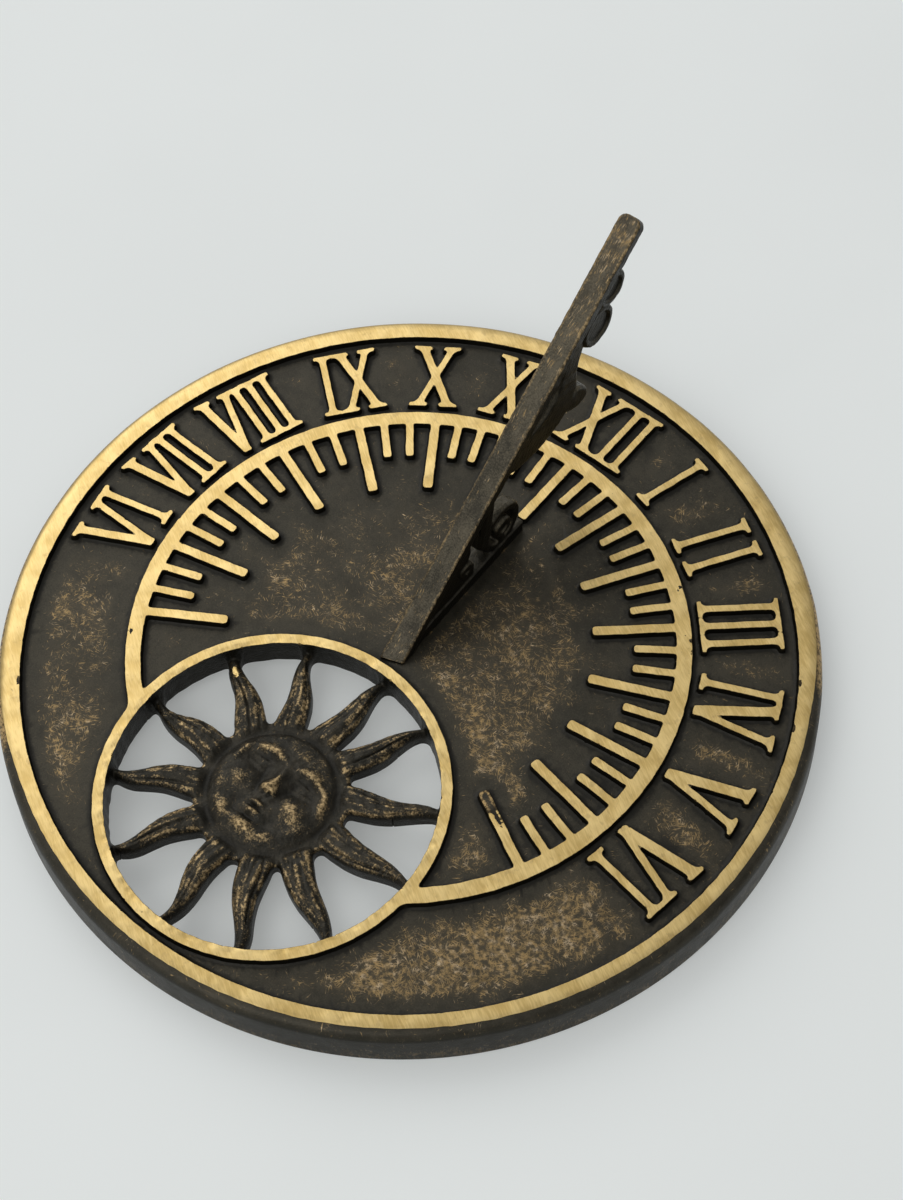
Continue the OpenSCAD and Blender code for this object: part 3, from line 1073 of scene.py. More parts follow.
FACE = (
    Swelling(0.40, 0.27, 0.28, 0.19, -2.70),
    Swelling(0.40, 0.27, 0.16, 0.10, 1.35),
    Swelling(0.40, 0.335, 0.20, 0.035, 0.55, -5),
    Swelling(0.40, 0.20, 0.19, 0.03, 0.40, 6),
    Swelling(0.23, 0.51, 0.20, 0.085, 1.25, 16),
    Swelling(0.55, 0.49, 0.22, 0.085, 1.35, -24),
    Swelling(0.80, 0.27, 0.09, 0.24, 1.15, 14),
    Swelling(0.00, 0.70, 0.55, 0.20, 0.45),
    Swelling(0.00, 0.33, 0.08, 0.22, 0.75),
    Swelling(0.00, 0.13, 0.085, 0.20, 1.15),
    Swelling(0.00, 0.00, 0.12, 0.11, 1.75),
    Swelling(0.115, -0.05, 0.065, 0.07, 0.95),
    Swelling(0.05, -0.12, 0.04, 0.035, -0.90),
    Swelling(0.00, -0.21, 0.05, 0.07, -0.45),
    Swelling(0.23, 0.03, 0.09, 0.24, -1.10, -16),
    Swelling(0.56, -0.15, 0.23, 0.20, 1.60, -20),
    Swelling(0.32, -0.46, 0.11, 0.22, -0.95, -12),
    Swelling(0.06, -0.325, 0.09, 0.05, 0.85, -10),
    Swelling(0.00, -0.39, 0.17, 0.03, -1.05),
    Swelling(0.00, -0.455, 0.115, 0.055, 1.05),
    Swelling(0.00, -0.57, 0.20, 0.05, -0.95),
    Swelling(0.00, -0.73, 0.26, 0.12, 1.70),
    Swelling(0.40, -0.70, 0.22, 0.11, 1.10, 32),
    Swelling(0.74, -0.36, 0.09, 0.26, 0.75, -30),
)


@dataclass
class Sun:
    """The pierced sun: the inner half of its ring, twelve wavy rays and the round face.

    tip_moves tells how far each ray's tip is bent aside, and widths how wide a ray is at each
    distance from the middle. flutes and crests are places across a ray, from -1 to 1. gleams are
    places on the face that are rubbed more or less than their shape explains: x, y, size, amount.
    """

    plate: DialPlate
    face_r: float = 19.2
    face_at: tuple[float, float] = (-1.6, 0.8)
    face_rim_z: float = 10.5
    dome_h: float = 2.7
    face_soft: float = 1.5
    lean_fades: tuple[float, float] = (46.0, 22.0)
    groove_w: float = 4.2
    groove_ends: tuple[float, float] = (19.8, 22.8)
    groove_z: float = 10.1
    crest_z: float = 11.2
    crest_rise: float = 1.5
    crown: float = 1.7
    edge_round: float = 1.3
    edge_drop: float = 0.9
    lowest_z: float = 9.0
    ray_from: float = 16.0
    near: float = 3.0
    ray_fillet: float = 1.6
    ring_fillet: float = 2.4
    wall: float = 0.45
    foot_fillet: float = 0.6
    swing: float = 1.8
    line_swing: float = 0.11
    line_w: float = 0.11
    wall_rows: tuple[float, ...] = (0.3, 0.65, 1.0)
    cell: float = 0.34
    angles: tuple[float, ...] = (1.5, 28, 58.5, 90, 121.5, 151, 181, 211.5, 241, 271, 303, 332.5)
    tip_moves: tuple[float, ...] = (1.8, -0.5, 2.2, -1.0, 1.3, 2.2, 0.4, 2.6, 2.7, 2.7, 3.2, 0.5)
    widths: tuple[tuple[float, float], ...] = (
        (16, 9.2), (21, 9.6), (26, 9.2), (31, 8.3), (36, 6.8), (40, 5.2), (44, 4.0), (47, 3.3), (50, 3.1))
    flutes: tuple[float, ...] = (-0.52, -0.10, 0.30, 0.66)
    crests: tuple[float, ...] = (-0.74, -0.31, 0.10, 0.48, 0.82)
    rubbed_tip: tuple[float, float] = (304.1, 43.8)
    rubbed_size: tuple[float, float] = (1.0, 1.9)
    gleams: tuple[tuple[float, float, float, float], ...] = (
        (0.0, 0.0, 0.13, 1.2), (-0.42, 0.54, 0.20, 0.55), (0.40, 0.55, 0.22, 0.5),
        (0.86, 0.20, 0.18, 0.5), (0.55, -0.20, 0.22, 0.6), (0.18, -0.74, 0.28, 0.6),
        (-0.42, -0.60, 0.2, 0.45), (-0.5, -0.15, 0.2, 0.2), (0.02, 0.38, 0.15, -0.9),
        (0.12, 0.77, 0.13, 0.5), (-0.52, 0.42, 0.15, 0.3))

    @property
    def hole_r(self) -> float:
        """Radius of the ring's inner edge."""
        return self.plate.sun_r - self.plate.sun_w

    def _share(self, along: np.ndarray) -> np.ndarray:
        """Share of the way from a ray's root to its tip."""
        return np.clip((along - self.ray_from) / (self.hole_r - self.ray_from), 0.0, 1.2)

    def _ray(self, points: Points, index: int) -> tuple[np.ndarray, np.ndarray, np.ndarray]:
        """Measure in a ray's own terms.

        Args:
            points: Places from the sun's centre.
            index: Which ray.

        Returns:
            The distance outside the ray, the place across it from -1 to 1, and the share of the
            way along it.
        """
        local = turned(points, self.angles[index])
        along = local[:, 1]
        share = self._share(along)
        vary = math.sin(2.3 * index)
        bend = self.swing * np.sin(np.radians(400 * share - 70 + 22 * vary)) * share
        bend += self.tip_moves[index] * share ** 2
        radii, full = zip(*self.widths)
        half = 0.5 * np.interp(along, radii, full) * (1 + 0.07 * math.sin(5.1 * index))
        half = half + 0.28 * np.sin(np.radians(620 * share + 80 * vary)) * share
        across = local[:, 0] - bend
        distance = np.where(along > self.ray_from - 4, np.abs(across) - half, 40.0)
        return distance, across / half, share

    def _wave(self, share: np.ndarray, line: int, index: int, ahead: float = 0.0) -> np.ndarray:
        """Give how far a flute or a crest of a ray swings across it, as a share of its width."""
        return self.line_swing * np.sin(np.radians(460 * share + 140 * line + ahead + 90 * index))

    def _from_face(self, points: Points) -> Points:
        """Give places from the face's middle, which the pattern has a little off the ring's."""
        lean = smooth_step(*self.lean_fades, np.linalg.norm(points, axis=1))
        return points - lean[:, None] * np.array(self.face_at)

    def shapes(self, points: Points) -> tuple[np.ndarray, np.ndarray]:
        """Measure to the metal inside the ring, and give the height of its top.

        Args:
            points: Places from the sun's centre.

        Returns:
            The distance outside the rays and the face, and the height above the foot.
        """
        points = self._from_face(points)
        radius = np.linalg.norm(points, axis=1)
        distance = radius - self.face_r - self.groove_w
        height = np.full(len(points), self.groove_z)
        for index in range(len(self.angles)):
            away, across, share = self._ray(points, index)
            here = away < self.near
            rise = self.crest_z + self.crest_rise * np.sin(np.pi * np.clip(share, 0, 1)) ** 0.8
            rise -= self.crown * np.abs(np.clip(across, -1.2, 1.2)) ** 2.2
            fade = smooth_step(0.08, 0.2, share) * smooth_step(0.97, 0.72, share)
            for k, place in enumerate(self.flutes):
                wave = self._wave(share, k, index)
                narrow = 0.10 + 0.02 * math.sin(2.0 * k + index)
                depth = 0.55 + 0.30 * math.sin(3.0 * k + 1.7 * index)
                depth = depth * (0.65 + 0.35 * np.sin(np.radians(300 * share + 77 * k + 131 * index)))
                rise -= depth * fade * np.exp(-((across - place - wave) / narrow) ** 2)
            rise += 0.12 * fade * unevenness(points, 6.0, 40 + index)
            rise = self.groove_z + (rise - self.groove_z) * smooth_step(*self.groove_ends, radius)
            height = np.where(here, np.maximum(height, rise), height)
            distance = smooth_min(distance, away, self.ray_fillet)
        return distance, height

    def face_height(self, points: Points) -> np.ndarray:
        """Height of the face's surface above the foot.

        Args:
            points: Places from the sun's centre, one per row.

        Returns:
            The heights.
        """
        x, y = (self._from_face(points) / self.face_r).T
        radius = np.hypot(x, y)
        dome = self.face_rim_z + self.dome_h * np.clip(1 - radius ** 2, 0, 1) ** 0.62
        relief = sum(place.at(x, y) for place in FACE)
        relief = relief * smooth_step(1.02, 0.86, radius)
        relief = relief + 0.06 * unevenness(points, 4.0, 31) + 0.03 * unevenness(points, 1.9, 32)
        highest = np.full(len(points), self.plate.top_z)
        return smooth_min(dome + relief, highest, 0.9)

    def metal(self, points: Points) -> np.ndarray:
        """Measure to the edge of the sun's metal, negative on it.

        Args:
            points: Places from the sun's centre, one per row.

        Returns:
            The distances.
        """
        shapes, _ = self.shapes(points)
        inside = smooth_min(self.edge(points), shapes, self.ring_fillet)
        return np.maximum(np.linalg.norm(points, axis=1) - self.plate.seam_r, inside)

    def edge(self, points: Points) -> np.ndarray:
        """Measure to the inner edge of the bright ring, negative on it."""
        return self.hole_r - np.linalg.norm(points, axis=1) + 0.08 * unevenness(points, 7.0, 33)

    def _top(self, points: Points) -> np.ndarray:
        """Height of the casting's upper surface.

        Args:
            points: Places from the sun's centre, one per row.

        Returns:
            The heights.
        """
        _, inner = self.shapes(points)
        shapes = self.metal(points)
        depth = np.clip(-shapes / self.edge_round, 0, 1)
        dropped = inner - self.edge_drop * (1 - np.sqrt(1 - (1 - depth) ** 2))
        inner = np.maximum(dropped, self.lowest_z)
        face = self.face_height(points)
        radius = np.linalg.norm(self._from_face(points), axis=1)
        inside = smooth_step(self.face_r + self.face_soft, self.face_r - self.face_soft, radius)
        inner = inner * (1 - inside) + face * inside
        outside = np.maximum(self.edge(points) - WALL_FROM, 0)
        share = relief_height(outside, self.wall, self.foot_fillet)
        return inner + (self.plate.top_z - inner) * share

    def _gleam(self, points: Points) -> np.ndarray:
        """Tell where hands have rubbed the face, more than its shape alone explains.

        Args:
            points: Places from the sun's centre, one per row.

        Returns:
            What is added to the rubbing, less than 0 where it shows less.
        """
        local = self._from_face(points) / self.face_r
        total = np.zeros(len(points))
        for x, y, size, amount in self.gleams:
            total += amount * np.exp(-((local - [x, y]) ** 2).sum(1) / size ** 2)
        return total + self._streaks(points)

    def _streaks(self, points: Points) -> np.ndarray:
        """Tell where the rays are rubbed: in fine lines along them, and hardly at their tips.

        Args:
            points: Places from the sun's centre, one per row.

        Returns:
            What is added to the rubbing, and 0 on the face.
        """
        points = self._from_face(points)
        off_face = smooth_step(self.face_r + 0.5, self.face_r + 3.0, np.linalg.norm(points, axis=1))
        total = np.zeros(len(points))
        for index in range(len(self.angles)):
            away, across, share = self._ray(points, index)
            lines = np.zeros(len(points))
            for k, place in enumerate(self.crests):
                wave = self._wave(share, k, index, -70.0)
                lines += np.exp(-((across - place - wave) / self.line_w) ** 2)
            patchy = 0.4 * unevenness(points, 9.0, 60 + index) + 0.3 * unevenness(points, 2.6, 80 + index)
            rubbed = np.minimum(lines, 1.0) * (0.68 + patchy)
            tips = smooth_step(0.55, 0.95, share)
            rubbed = 0.88 * rubbed * (1 - 0.6 * tips) - 0.48 - 0.35 * tips
            total = np.where(away < 0.6, rubbed, total)
        return total * off_face

    def _polish(self, points: Points) -> np.ndarray:
        """Measure to the edge of the bright places, negative on them.

        Args:
            points: Places from the sun's centre, one per row.

        Returns:
            The distances.
        """
        bright = self.edge(points) + 0.06 + 0.03 * unevenness(points, 2.4, 5)
        local = turned(points, self.rubbed_tip[0]) - [0.0, self.rubbed_tip[1]]
        spot = np.linalg.norm(local / self.rubbed_size, axis=1) - 1 + 0.2 * unevenness(points, 1.5, 34)
        return np.minimum(bright, 6.0 * spot)

    def build(self) -> bpy.types.Object:
        """Make the sun's mesh, a closed shell that meets the plate in the middle of the ring.

        Returns:
            The sun.
        """
        base_z = self.plate.top_z - self.plate.sun_wall_h
        reach = self.plate.seam_r + 1
        maker = SheetMaker(self.cell, (-reach, -reach), (reach, reach), self.metal,
                           ((self.edge, 0.0), (self.edge, self.wall)), levels=2,
                           fine=lambda places: np.linalg.norm(places, axis=1) - self.hole_r)
        sheet = maker.make()
        move = [0.0, self.plate.sun_y]
        parts = MeshParts()
        parts.add(np.column_stack([sheet.points + move, self._top(sheet.points)]),
                  edge=self._polish(sheet.points), open=0.0, gleam=self._gleam(sheet.points))
        parts.faces.extend(sheet.faces)
        floors = []
        for loop in sheet.loops():
            top = np.array(loop)
            places = sheet.points[top]
            heights = self._top(places)
            walls = [top]
            for share in self.wall_rows:
                z = heights * (1 - share) + base_z * share
                # The walls get an edge value that the material turns near black: painted shade on the walls
                # of the rays, the face and the ring.
                ring = parts.add(np.column_stack([places + move, z]), edge=0.6, open=0.0, gleam=-0.6)
                parts.join(walls[-1], ring)
                walls.append(ring)
            floors.append(walls[-1])
        parts.fill(floors)
        piece = parts.make("sun_casting", sharp_angle=50.0)
        write_rubbing(piece, passes=80, height=0.8)
        return piece


def rounded_half(distance: np.ndarray, half: np.ndarray | float, radius: float) -> np.ndarray:
    """Half the thickness of a flat form whose edges are rounded.

    Args:
        distance: Distance outside the form's outline.
        half: Half of the full thickness.
        radius: Radius of the rounding.

    Returns:
        The half thickness, which falls steeply outside the outline.
    """
    depth = np.clip(-distance / radius, 0.0, 1.0)
    return half - radius * (1 - np.sqrt(1 - (1 - depth) ** 2)) - 2.5 * np.maximum(distance, 0)


@dataclass
class Gnomon:
    """The cast gnomon: a flat style on pierced scrollwork, with a rail along its foot.

    The outlines are in distance to noon and height above the field, and bosses have a radius too.
    The style's lower end is cut askew. low and high are corners of the area that its sides are laid
    on, and rows is how many faces run across its edges.
    """

    field_z: float
    style_angle: float = 38.0
    style_back: float = 9.4
    style_l: float = 152.0
    style_w: float = 7.6
    style_t: float = 4.0
    end_r: float = 2.6
    nose: float = 1.0
    web_t: float = 5.0
    boss_out: float = 0.8
    boss_rim: float = 1.7
    boss_sink: float = 0.9
    rail_w: float = 6.4
    rail_h: float = 4.8
    rail_front: float = 55.0
    rail_below: float = 3.0
    corner: float = 0.3
    rail_corner: float = 0.7
    joint_fillet: float = 1.2
    scroll_fillet: float = 1.4
    rail_fillet: float = 0.8
    least_half: float = 0.9
    askew: float = 0.32
    heel: tuple[float, float] = (44.6, 12.2)
    heel_r: float = 9.4
    heel_strap: float = 3.2
    stalk_w: float = 3.2
    low: tuple[float, float] = (-14.0, -2.0)
    high: tuple[float, float] = (116.0, 98.0)
    cell: float = 0.4
    rows: int = 9
    bosses: tuple[tuple[float, float, float], ...] = (
        (97.8, 75.4, 6.4), (91.6, 64.2, 7.4), (44.6, 13, 4.0), (26, 11, 3.2))
    bow: tuple[tuple[float, float], ...] = (
        (46, 37), (55, 33.4), (66, 32.6), (77, 36), (82.5, 44), (83, 54), (86, 63),
        (82, 67), (76, 59), (72, 50), (63, 45.2), (53, 44.5), (48, 42))
    leaf_tip: tuple[tuple[float, float], ...] = ((77, 37), (83, 33), (88.4, 34.2), (88, 38.6), (83, 42))
    heel_stem: tuple[tuple[float, float], ...] = (
        (33.5, 12), (34.6, 20), (36.4, 28), (37, 33.6), (41.5, 36.2), (41.3, 28), (40, 20.5), (37.4, 12))
    wedge_front: tuple[tuple[float, float], ...] = ((30, 1), (31, 9), (27.5, 12.5), (29.5, 17))

    @property
    def rail_back(self) -> float:
        """Place of the rail's back end, where the style is as high as the rail."""
        return self.rail_h / math.tan(math.radians(self.style_angle)) - self.style_back

    def _along_style(self, points: Points) -> tuple[np.ndarray, np.ndarray]:
        """Give places along the style's slope, and their height over its top.

        Args:
            points: Places in the side view, one per row.

        Returns:
            The places along the slope, and the heights over the top.
        """
        a = math.radians(self.style_angle)
        y, h = points[:, 0] + self.style_back, points[:, 1]
        return y * math.cos(a) + h * math.sin(a), h * math.cos(a) - y * math.sin(a)

    def _style(self, points: Points) -> np.ndarray:
        """Measure to the style's outline, seen from the side.

        Args:
            points: Places in the side view, one per row.

        Returns:
            The distances.
        """
        along, over = self._along_style(points)
        half = (self.style_l / 2, self.style_t / 2)
        bar = bar_distance(along - half[0], over + half[1], half, self.corner)
        return np.maximum(bar, self.nose - self.style_back - points[:, 0])

    def _rail(self, points: Points) -> np.ndarray:
        """Measure to the rail's outline, seen from the side.

        Args:
            points: Places in the side view, one per row.

        Returns:
            The distances.
        """
        middle = (self.rail_back + self.rail_front) / 2
        half_l = (self.rail_front - self.rail_back) / 2
        half_h = (self.rail_h + self.rail_below) / 2
        up = points[:, 1] - self.rail_h + half_h
        return bar_distance(points[:, 0] - middle, up, (half_l, half_h), self.rail_corner)

    def _bosses(self, points: Points) -> np.ndarray:
        """Measure to the nearest round boss."""
        away = [np.hypot(points[:, 0] - y, points[:, 1] - h) - r for y, h, r in self.bosses]
        return np.minimum.reduce(away)

    def _wedge(self) -> Points:
        """Outline of the web between the style's foot and the heel.

        Returns:
            The outline's corners.
        """
        a = math.radians(self.style_angle)
        back = self.rail_back
        tops = [(y, (y + self.style_back) * math.tan(a) - 1.5) for y in (self.wedge_front[-1][0], back)]
        return np.array([(back, 1.0), *self.wedge_front, *tops])

    def _web(self, points: Points) -> np.ndarray:
        """Measure to the pierced scrollwork.

        Args:
            points: Places in the side view, one per row.

        Returns:
            The distances.
        """
        ring = np.hypot(points[:, 0] - self.heel[0], points[:, 1] - self.heel[1])
        strap = np.abs(ring - self.heel_r + self.heel_strap / 2) - self.heel_strap / 2
        stalk = bar_distance(points[:, 0] - self.heel[0], points[:, 1] - self.heel[1] / 2,
                             (self.stalk_w / 2, self.heel[1] / 2), 0.2)
        distance = smooth_min(strap, stalk, self.joint_fillet)
        curves = [smooth_curve(curve) for curve in (self.bow, self.leaf_tip, self.heel_stem)]
        for outline in (*curves, self._wedge()):
            distance = smooth_min(distance, outline_distance(points, outline), self.scroll_fillet)
        return distance

    def metal(self, points: Points) -> np.ndarray:
        """Measure to the gnomon's outline, seen from the side, negative inside.

        Args:
            points: Places in the side view, one per row.

        Returns:
            The distances.
        """
        distance = smooth_min(self._style(points), self._web(points), self.joint_fillet)
        distance = smooth_min(distance, self._bosses(points), self.joint_fillet)
        distance = smooth_min(distance, self._rail(points), self.rail_fillet)
        return np.maximum(distance, -points[:, 1])

    def _half(self, points: Points) -> np.ndarray:
        """Half the gnomon's thickness at each place.

        Args:
            points: Places in the side view, one per row.

        Returns:
            The half thicknesses.
        """
        along, _ = self._along_style(points)
        to_end = np.clip(self.style_l - along, 0.0, self.end_r)
        style_half = self.style_w / 2 - self.end_r + np.sqrt(self.end_r ** 2 - (self.end_r - to_end) ** 2)
        style = rounded_half(self._style(points), style_half, 0.55)
        rail = rounded_half(self._rail(points), self.rail_w / 2, 0.6)
        web = rounded_half(self._web(points), self.web_t / 2, 1.2)
        bosses = self._bosses(points)
        boss = rounded_half(bosses, self.web_t / 2 + self.boss_out, 1.0)
        boss -= self.boss_sink * smooth_step(-self.boss_rim, -self.boss_rim - 0.9, bosses)
        half = -smooth_min(-web, -boss, 0.5)
        half = -smooth_min(-half, -rail, 0.6)
        half = -smooth_min(-half, -style, 0.6)
        half = np.minimum(half, self.style_w / 2)
        rough = 0.05 * unevenness(points, 9.0, 51) + 0.03 * unevenness(points, 3.0, 52)
        return np.maximum(half - 0.05 + rough, self.least_half)

    def _outward(self, points: Points) -> Points:
        """Give the direction straight out of the outline at each place."""
        slope = slope_at(self.metal, points, NUDGE)
        return slope / np.maximum(np.linalg.norm(slope, axis=1), 1e-6)[:, None]

    def _place(self, flat: Points, x: np.ndarray) -> Points:
        """Stand places of the side view up in the dial's frame, with the style's lower end askew."""
        askew = self.askew * x * smooth_step(6.0, -self.style_back, flat[:, 0])
        return np.column_stack([x, flat[:, 0] + askew, flat[:, 1] + self.field_z])

    def build(self) -> bpy.types.Object:
        """Make the gnomon's mesh, a closed shell: two sides and the faces that run round between.

        Returns:
            The gnomon.
        """
        maker = SheetMaker(self.cell, self.low, self.high, self.metal,
                           ((self._style, 0.0), (self._rail, 0.0), (self._bosses, 0.0)),
                           fine=self.metal)
        sheet = maker.make()
        half = self._half(sheet.points)
        parts = MeshParts()
        along, over = self._along_style(sheet.points)
        on_style = smooth_step(-1.0, -0.2, over)
        low = smooth_step(6.5, 5.0, sheet.points[:, 1]) * (1 - on_style)
        high = smooth_step(60.0, 150.0, along)
        # Low down, next to the field, edge is lowered so that the material darkens the web and the rail:
        # painted shade at the gnomon's foot.
        values = {"edge": 3.0 - 2.3 * low, "open": (5.5 + 3.0 * high) * on_style,
                  "gleam": (0.06 + 0.22 * high) * on_style - 0.5 * (1 - on_style) - 0.2 * low}
        right = parts.add(self._place(sheet.points, half), **values)
        left = parts.add(self._place(sheet.points, -half), **values)
        parts.faces.extend(sheet.faces)
        shift = len(right)
        parts.faces.extend(tuple(v + shift for v in face[::-1]) for face in sheet.faces)
        for loop in sheet.loops():
            first = np.array(loop)
            flat = sheet.points[first]
            outward = self._outward(flat)
            standing = flat[:, 1] > 0.05
            previous = first
            for row in range(1, self.rows):
                x = half[first] * (1 - 2 * row / self.rows)
                spots = np.column_stack([x, flat])
                sink = 0.05 * unevenness(spots, 8.0, 53) + 0.03 * unevenness(spots, 2.6, 54)
                sink = np.minimum(sink - 0.05, 0)
                moved = flat + outward * (sink * standing)[:, None]
                kept = {key: value[first] for key, value in values.items()}
                ring = parts.add(self._place(moved, x), **kept)
                parts.join(previous, ring)
                previous = ring
            parts.join(previous, left[first])
        piece = parts.make("gnomon_casting", sharp_angle=42.0)
        write_rubbing(piece, passes=3, height=0.12)
        return piece


Socket = bpy.types.NodeSocket
Colour = tuple[float, float, float]


@dataclass
class Nodes:
    """Writes the nodes of one material. Lengths in it are in millimetres."""

    material: bpy.types.Material
    place: Optional[Socket] = None
    normal: Optional[Socket] = None

    @classmethod
    def start(cls, name: str) -> "Nodes":
        """Start an empty material with the object's own coordinates.

        Args:
            name: Name of the material.

        Returns:
            The writer of its nodes.
        """
        material = bpy.data.materials.new(name)
        material.use_nodes = True
        material.node_tree.nodes.clear()
        made = cls(material)
        coordinates = made.add("ShaderNodeTexCoord")
        scaled = made.add("ShaderNodeVectorMath", operation="SCALE")
        made.join(coordinates.outputs["Object"], scaled.inputs[0])
        scaled.inputs["Scale"].default_value = 1 / MM
        made.place = scaled.outputs[0]
        made.normal = coordinates.outputs["Normal"]
        return made

    def add(self, kind: str, **settings: object) -> bpy.types.Node:
        """Add a node and give it its settings.

        Args:
            kind: Which node.
            **settings: Its settings by name.

        Returns:
            The node.
        """
        node = self.material.node_tree.nodes.new(kind)
        for key, value in settings.items():
            setattr(node, key, value)
        return node

    def join(self, source: "Socket | float | Colour", target: Socket) -> None:
        """Link a socket, or set a plain value.

        Args:
            source: A socket, a number or a colour.
            target: The socket that gets it.
        """
        if isinstance(source, bpy.types.NodeSocket):
            self.material.node_tree.links.new(source, target)
        elif isinstance(source, tuple):
            target.default_value = (*source, 1.0)
        else:
            target.default_value = source

    def layer(self, name: str) -> Socket:
        """Read a value that the mesh carries."""
        return self.add("ShaderNodeAttribute", attribute_name=name).outputs["Fac"]

    def split(self, source: Socket) -> bpy.types.NodeOutputs:
        """Split a place or a direction into its X, Y and Z.

        Args:
            source: The place or direction.

        Returns:
            The sockets of its three parts.
        """
        node = self.add("ShaderNodeSeparateXYZ")
        self.join(source, node.inputs[0])
        return node.outputs

    def math(self, operation: str, *values: "Socket | float") -> Socket:
        """Reckon with numbers.

        Args:
            operation: Which operation.
            *values: Its numbers, in order.

        Returns:
            The result.
        """
        node = self.add("ShaderNodeMath", operation=operation)
        for value, target in zip(values, node.inputs):
            self.join(value, target)
        return node.outputs[0]

    def rise(self, value: Socket, low: float, high: float) -> Socket:
        """Rise smoothly from 0 at low to 1 at high, or fall where high is the lower of the two.

        Args:
            value: What the rise depends on.
            low: Where it is 0.
            high: Where it is 1.

        Returns:
            The share, from 0 to 1.
        """
        node = self.add("ShaderNodeMapRange", interpolation_type="SMOOTHSTEP")
        falls = high < low
        ends = (high, low, 1.0, 0.0) if falls else (low, high, 0.0, 1.0)
        self.join(value, node.inputs[0])
        for number, target in zip(ends, node.inputs[1:5]):
            target.default_value = number
        return node.outputs[0]

    def span(self, value: Socket, first: float, last: float) -> Socket:
        """Turn a share from 0 to 1 into a number between two ends."""
        return self.math("MULTIPLY_ADD", value, last - first, first)

    def mix(self, share: "Socket | float", first: "Socket | Colour", second: "Socket | Colour") -> Socket:
        """Mix two colours.

        Args:
            share: Share of the second colour.
            first: The first colour.
            second: The second colour.

        Returns:
            The mixed colour.
        """
        node = self.add("ShaderNodeMix", data_type="RGBA")
        self.join(share, node.inputs[0])
        self.join(first, node.inputs[6])
        self.join(second, node.inputs[7])
        return node.outputs[2]

    def noise(self, length: float, detail: float = 3.0, seed: float = 0.0,
              ways: Sequence[float] = (1, 1, 1), turn: Sequence[float] = (0, 0, 0)) -> Socket:
        """Make a cloudy pattern.

        Args:
            length: Length of its largest clouds.
            detail: How much finer detail it has.
            seed: Which pattern.
            ways: How many times longer the clouds are along X, Y and Z.
            turn: Angles in degrees by which the pattern is turned.

        Returns:
            The pattern, around one half.
        """
        mapping = self.add("ShaderNodeMapping", vector_type="TEXTURE")
        self.join(self.place, mapping.inputs["Vector"])
        mapping.inputs["Location"].default_value = (seed * 37.0, seed * 11.0, seed * 53.0)
        mapping.inputs["Rotation"].default_value = tuple(math.radians(a) for a in turn)
        mapping.inputs["Scale"].default_value = tuple(length * way for way in ways)
        node = self.add("ShaderNodeTexNoise")
        self.join(mapping.outputs[0], node.inputs["Vector"])
        node.inputs["Scale"].default_value = 1.0
        node.inputs["Detail"].default_value = detail
        node.inputs["Roughness"].default_value = 0.55
        return node.outputs["Fac"]

    def surface(self, colour: Socket, metallic: "Socket | float", roughness: Socket, height: Socket,
                depth: float, shine: "Socket | float" = 0.5) -> Socket:
        """Put the surface together.

        Args:
            colour: Base colour.
            metallic: How metallic it is.
            roughness: How rough it is.
            height: Height of the fine relief, about 0 to 1.
            depth: Depth of the fine relief.
            shine: How strongly a part that isn't metallic reflects.

        Returns:
            The shader.
        """
        bump = self.add("ShaderNodeBump")
        self.join(height, bump.inputs["Height"])
        bump.inputs["Distance"].default_value = depth * MM
        shader = self.add("ShaderNodeBsdfPrincipled")
        self.join(colour, shader.inputs["Base Color"])
        self.join(metallic, shader.inputs["Metallic"])
        self.join(roughness, shader.inputs["Roughness"])
        self.join(shine, shader.inputs["Specular IOR Level"])
        self.join(bump.outputs[0], shader.inputs["Normal"])
        return shader.outputs[0]

    def finish(self, shader: Socket) -> bpy.types.Material:
        """Give the material its shader, and return it.

        Args:
            shader: The shader.

        Returns:
            The material.
        """
        output = self.add("ShaderNodeOutputMaterial")
        self.join(shader, output.inputs["Surface"])
        return self.material


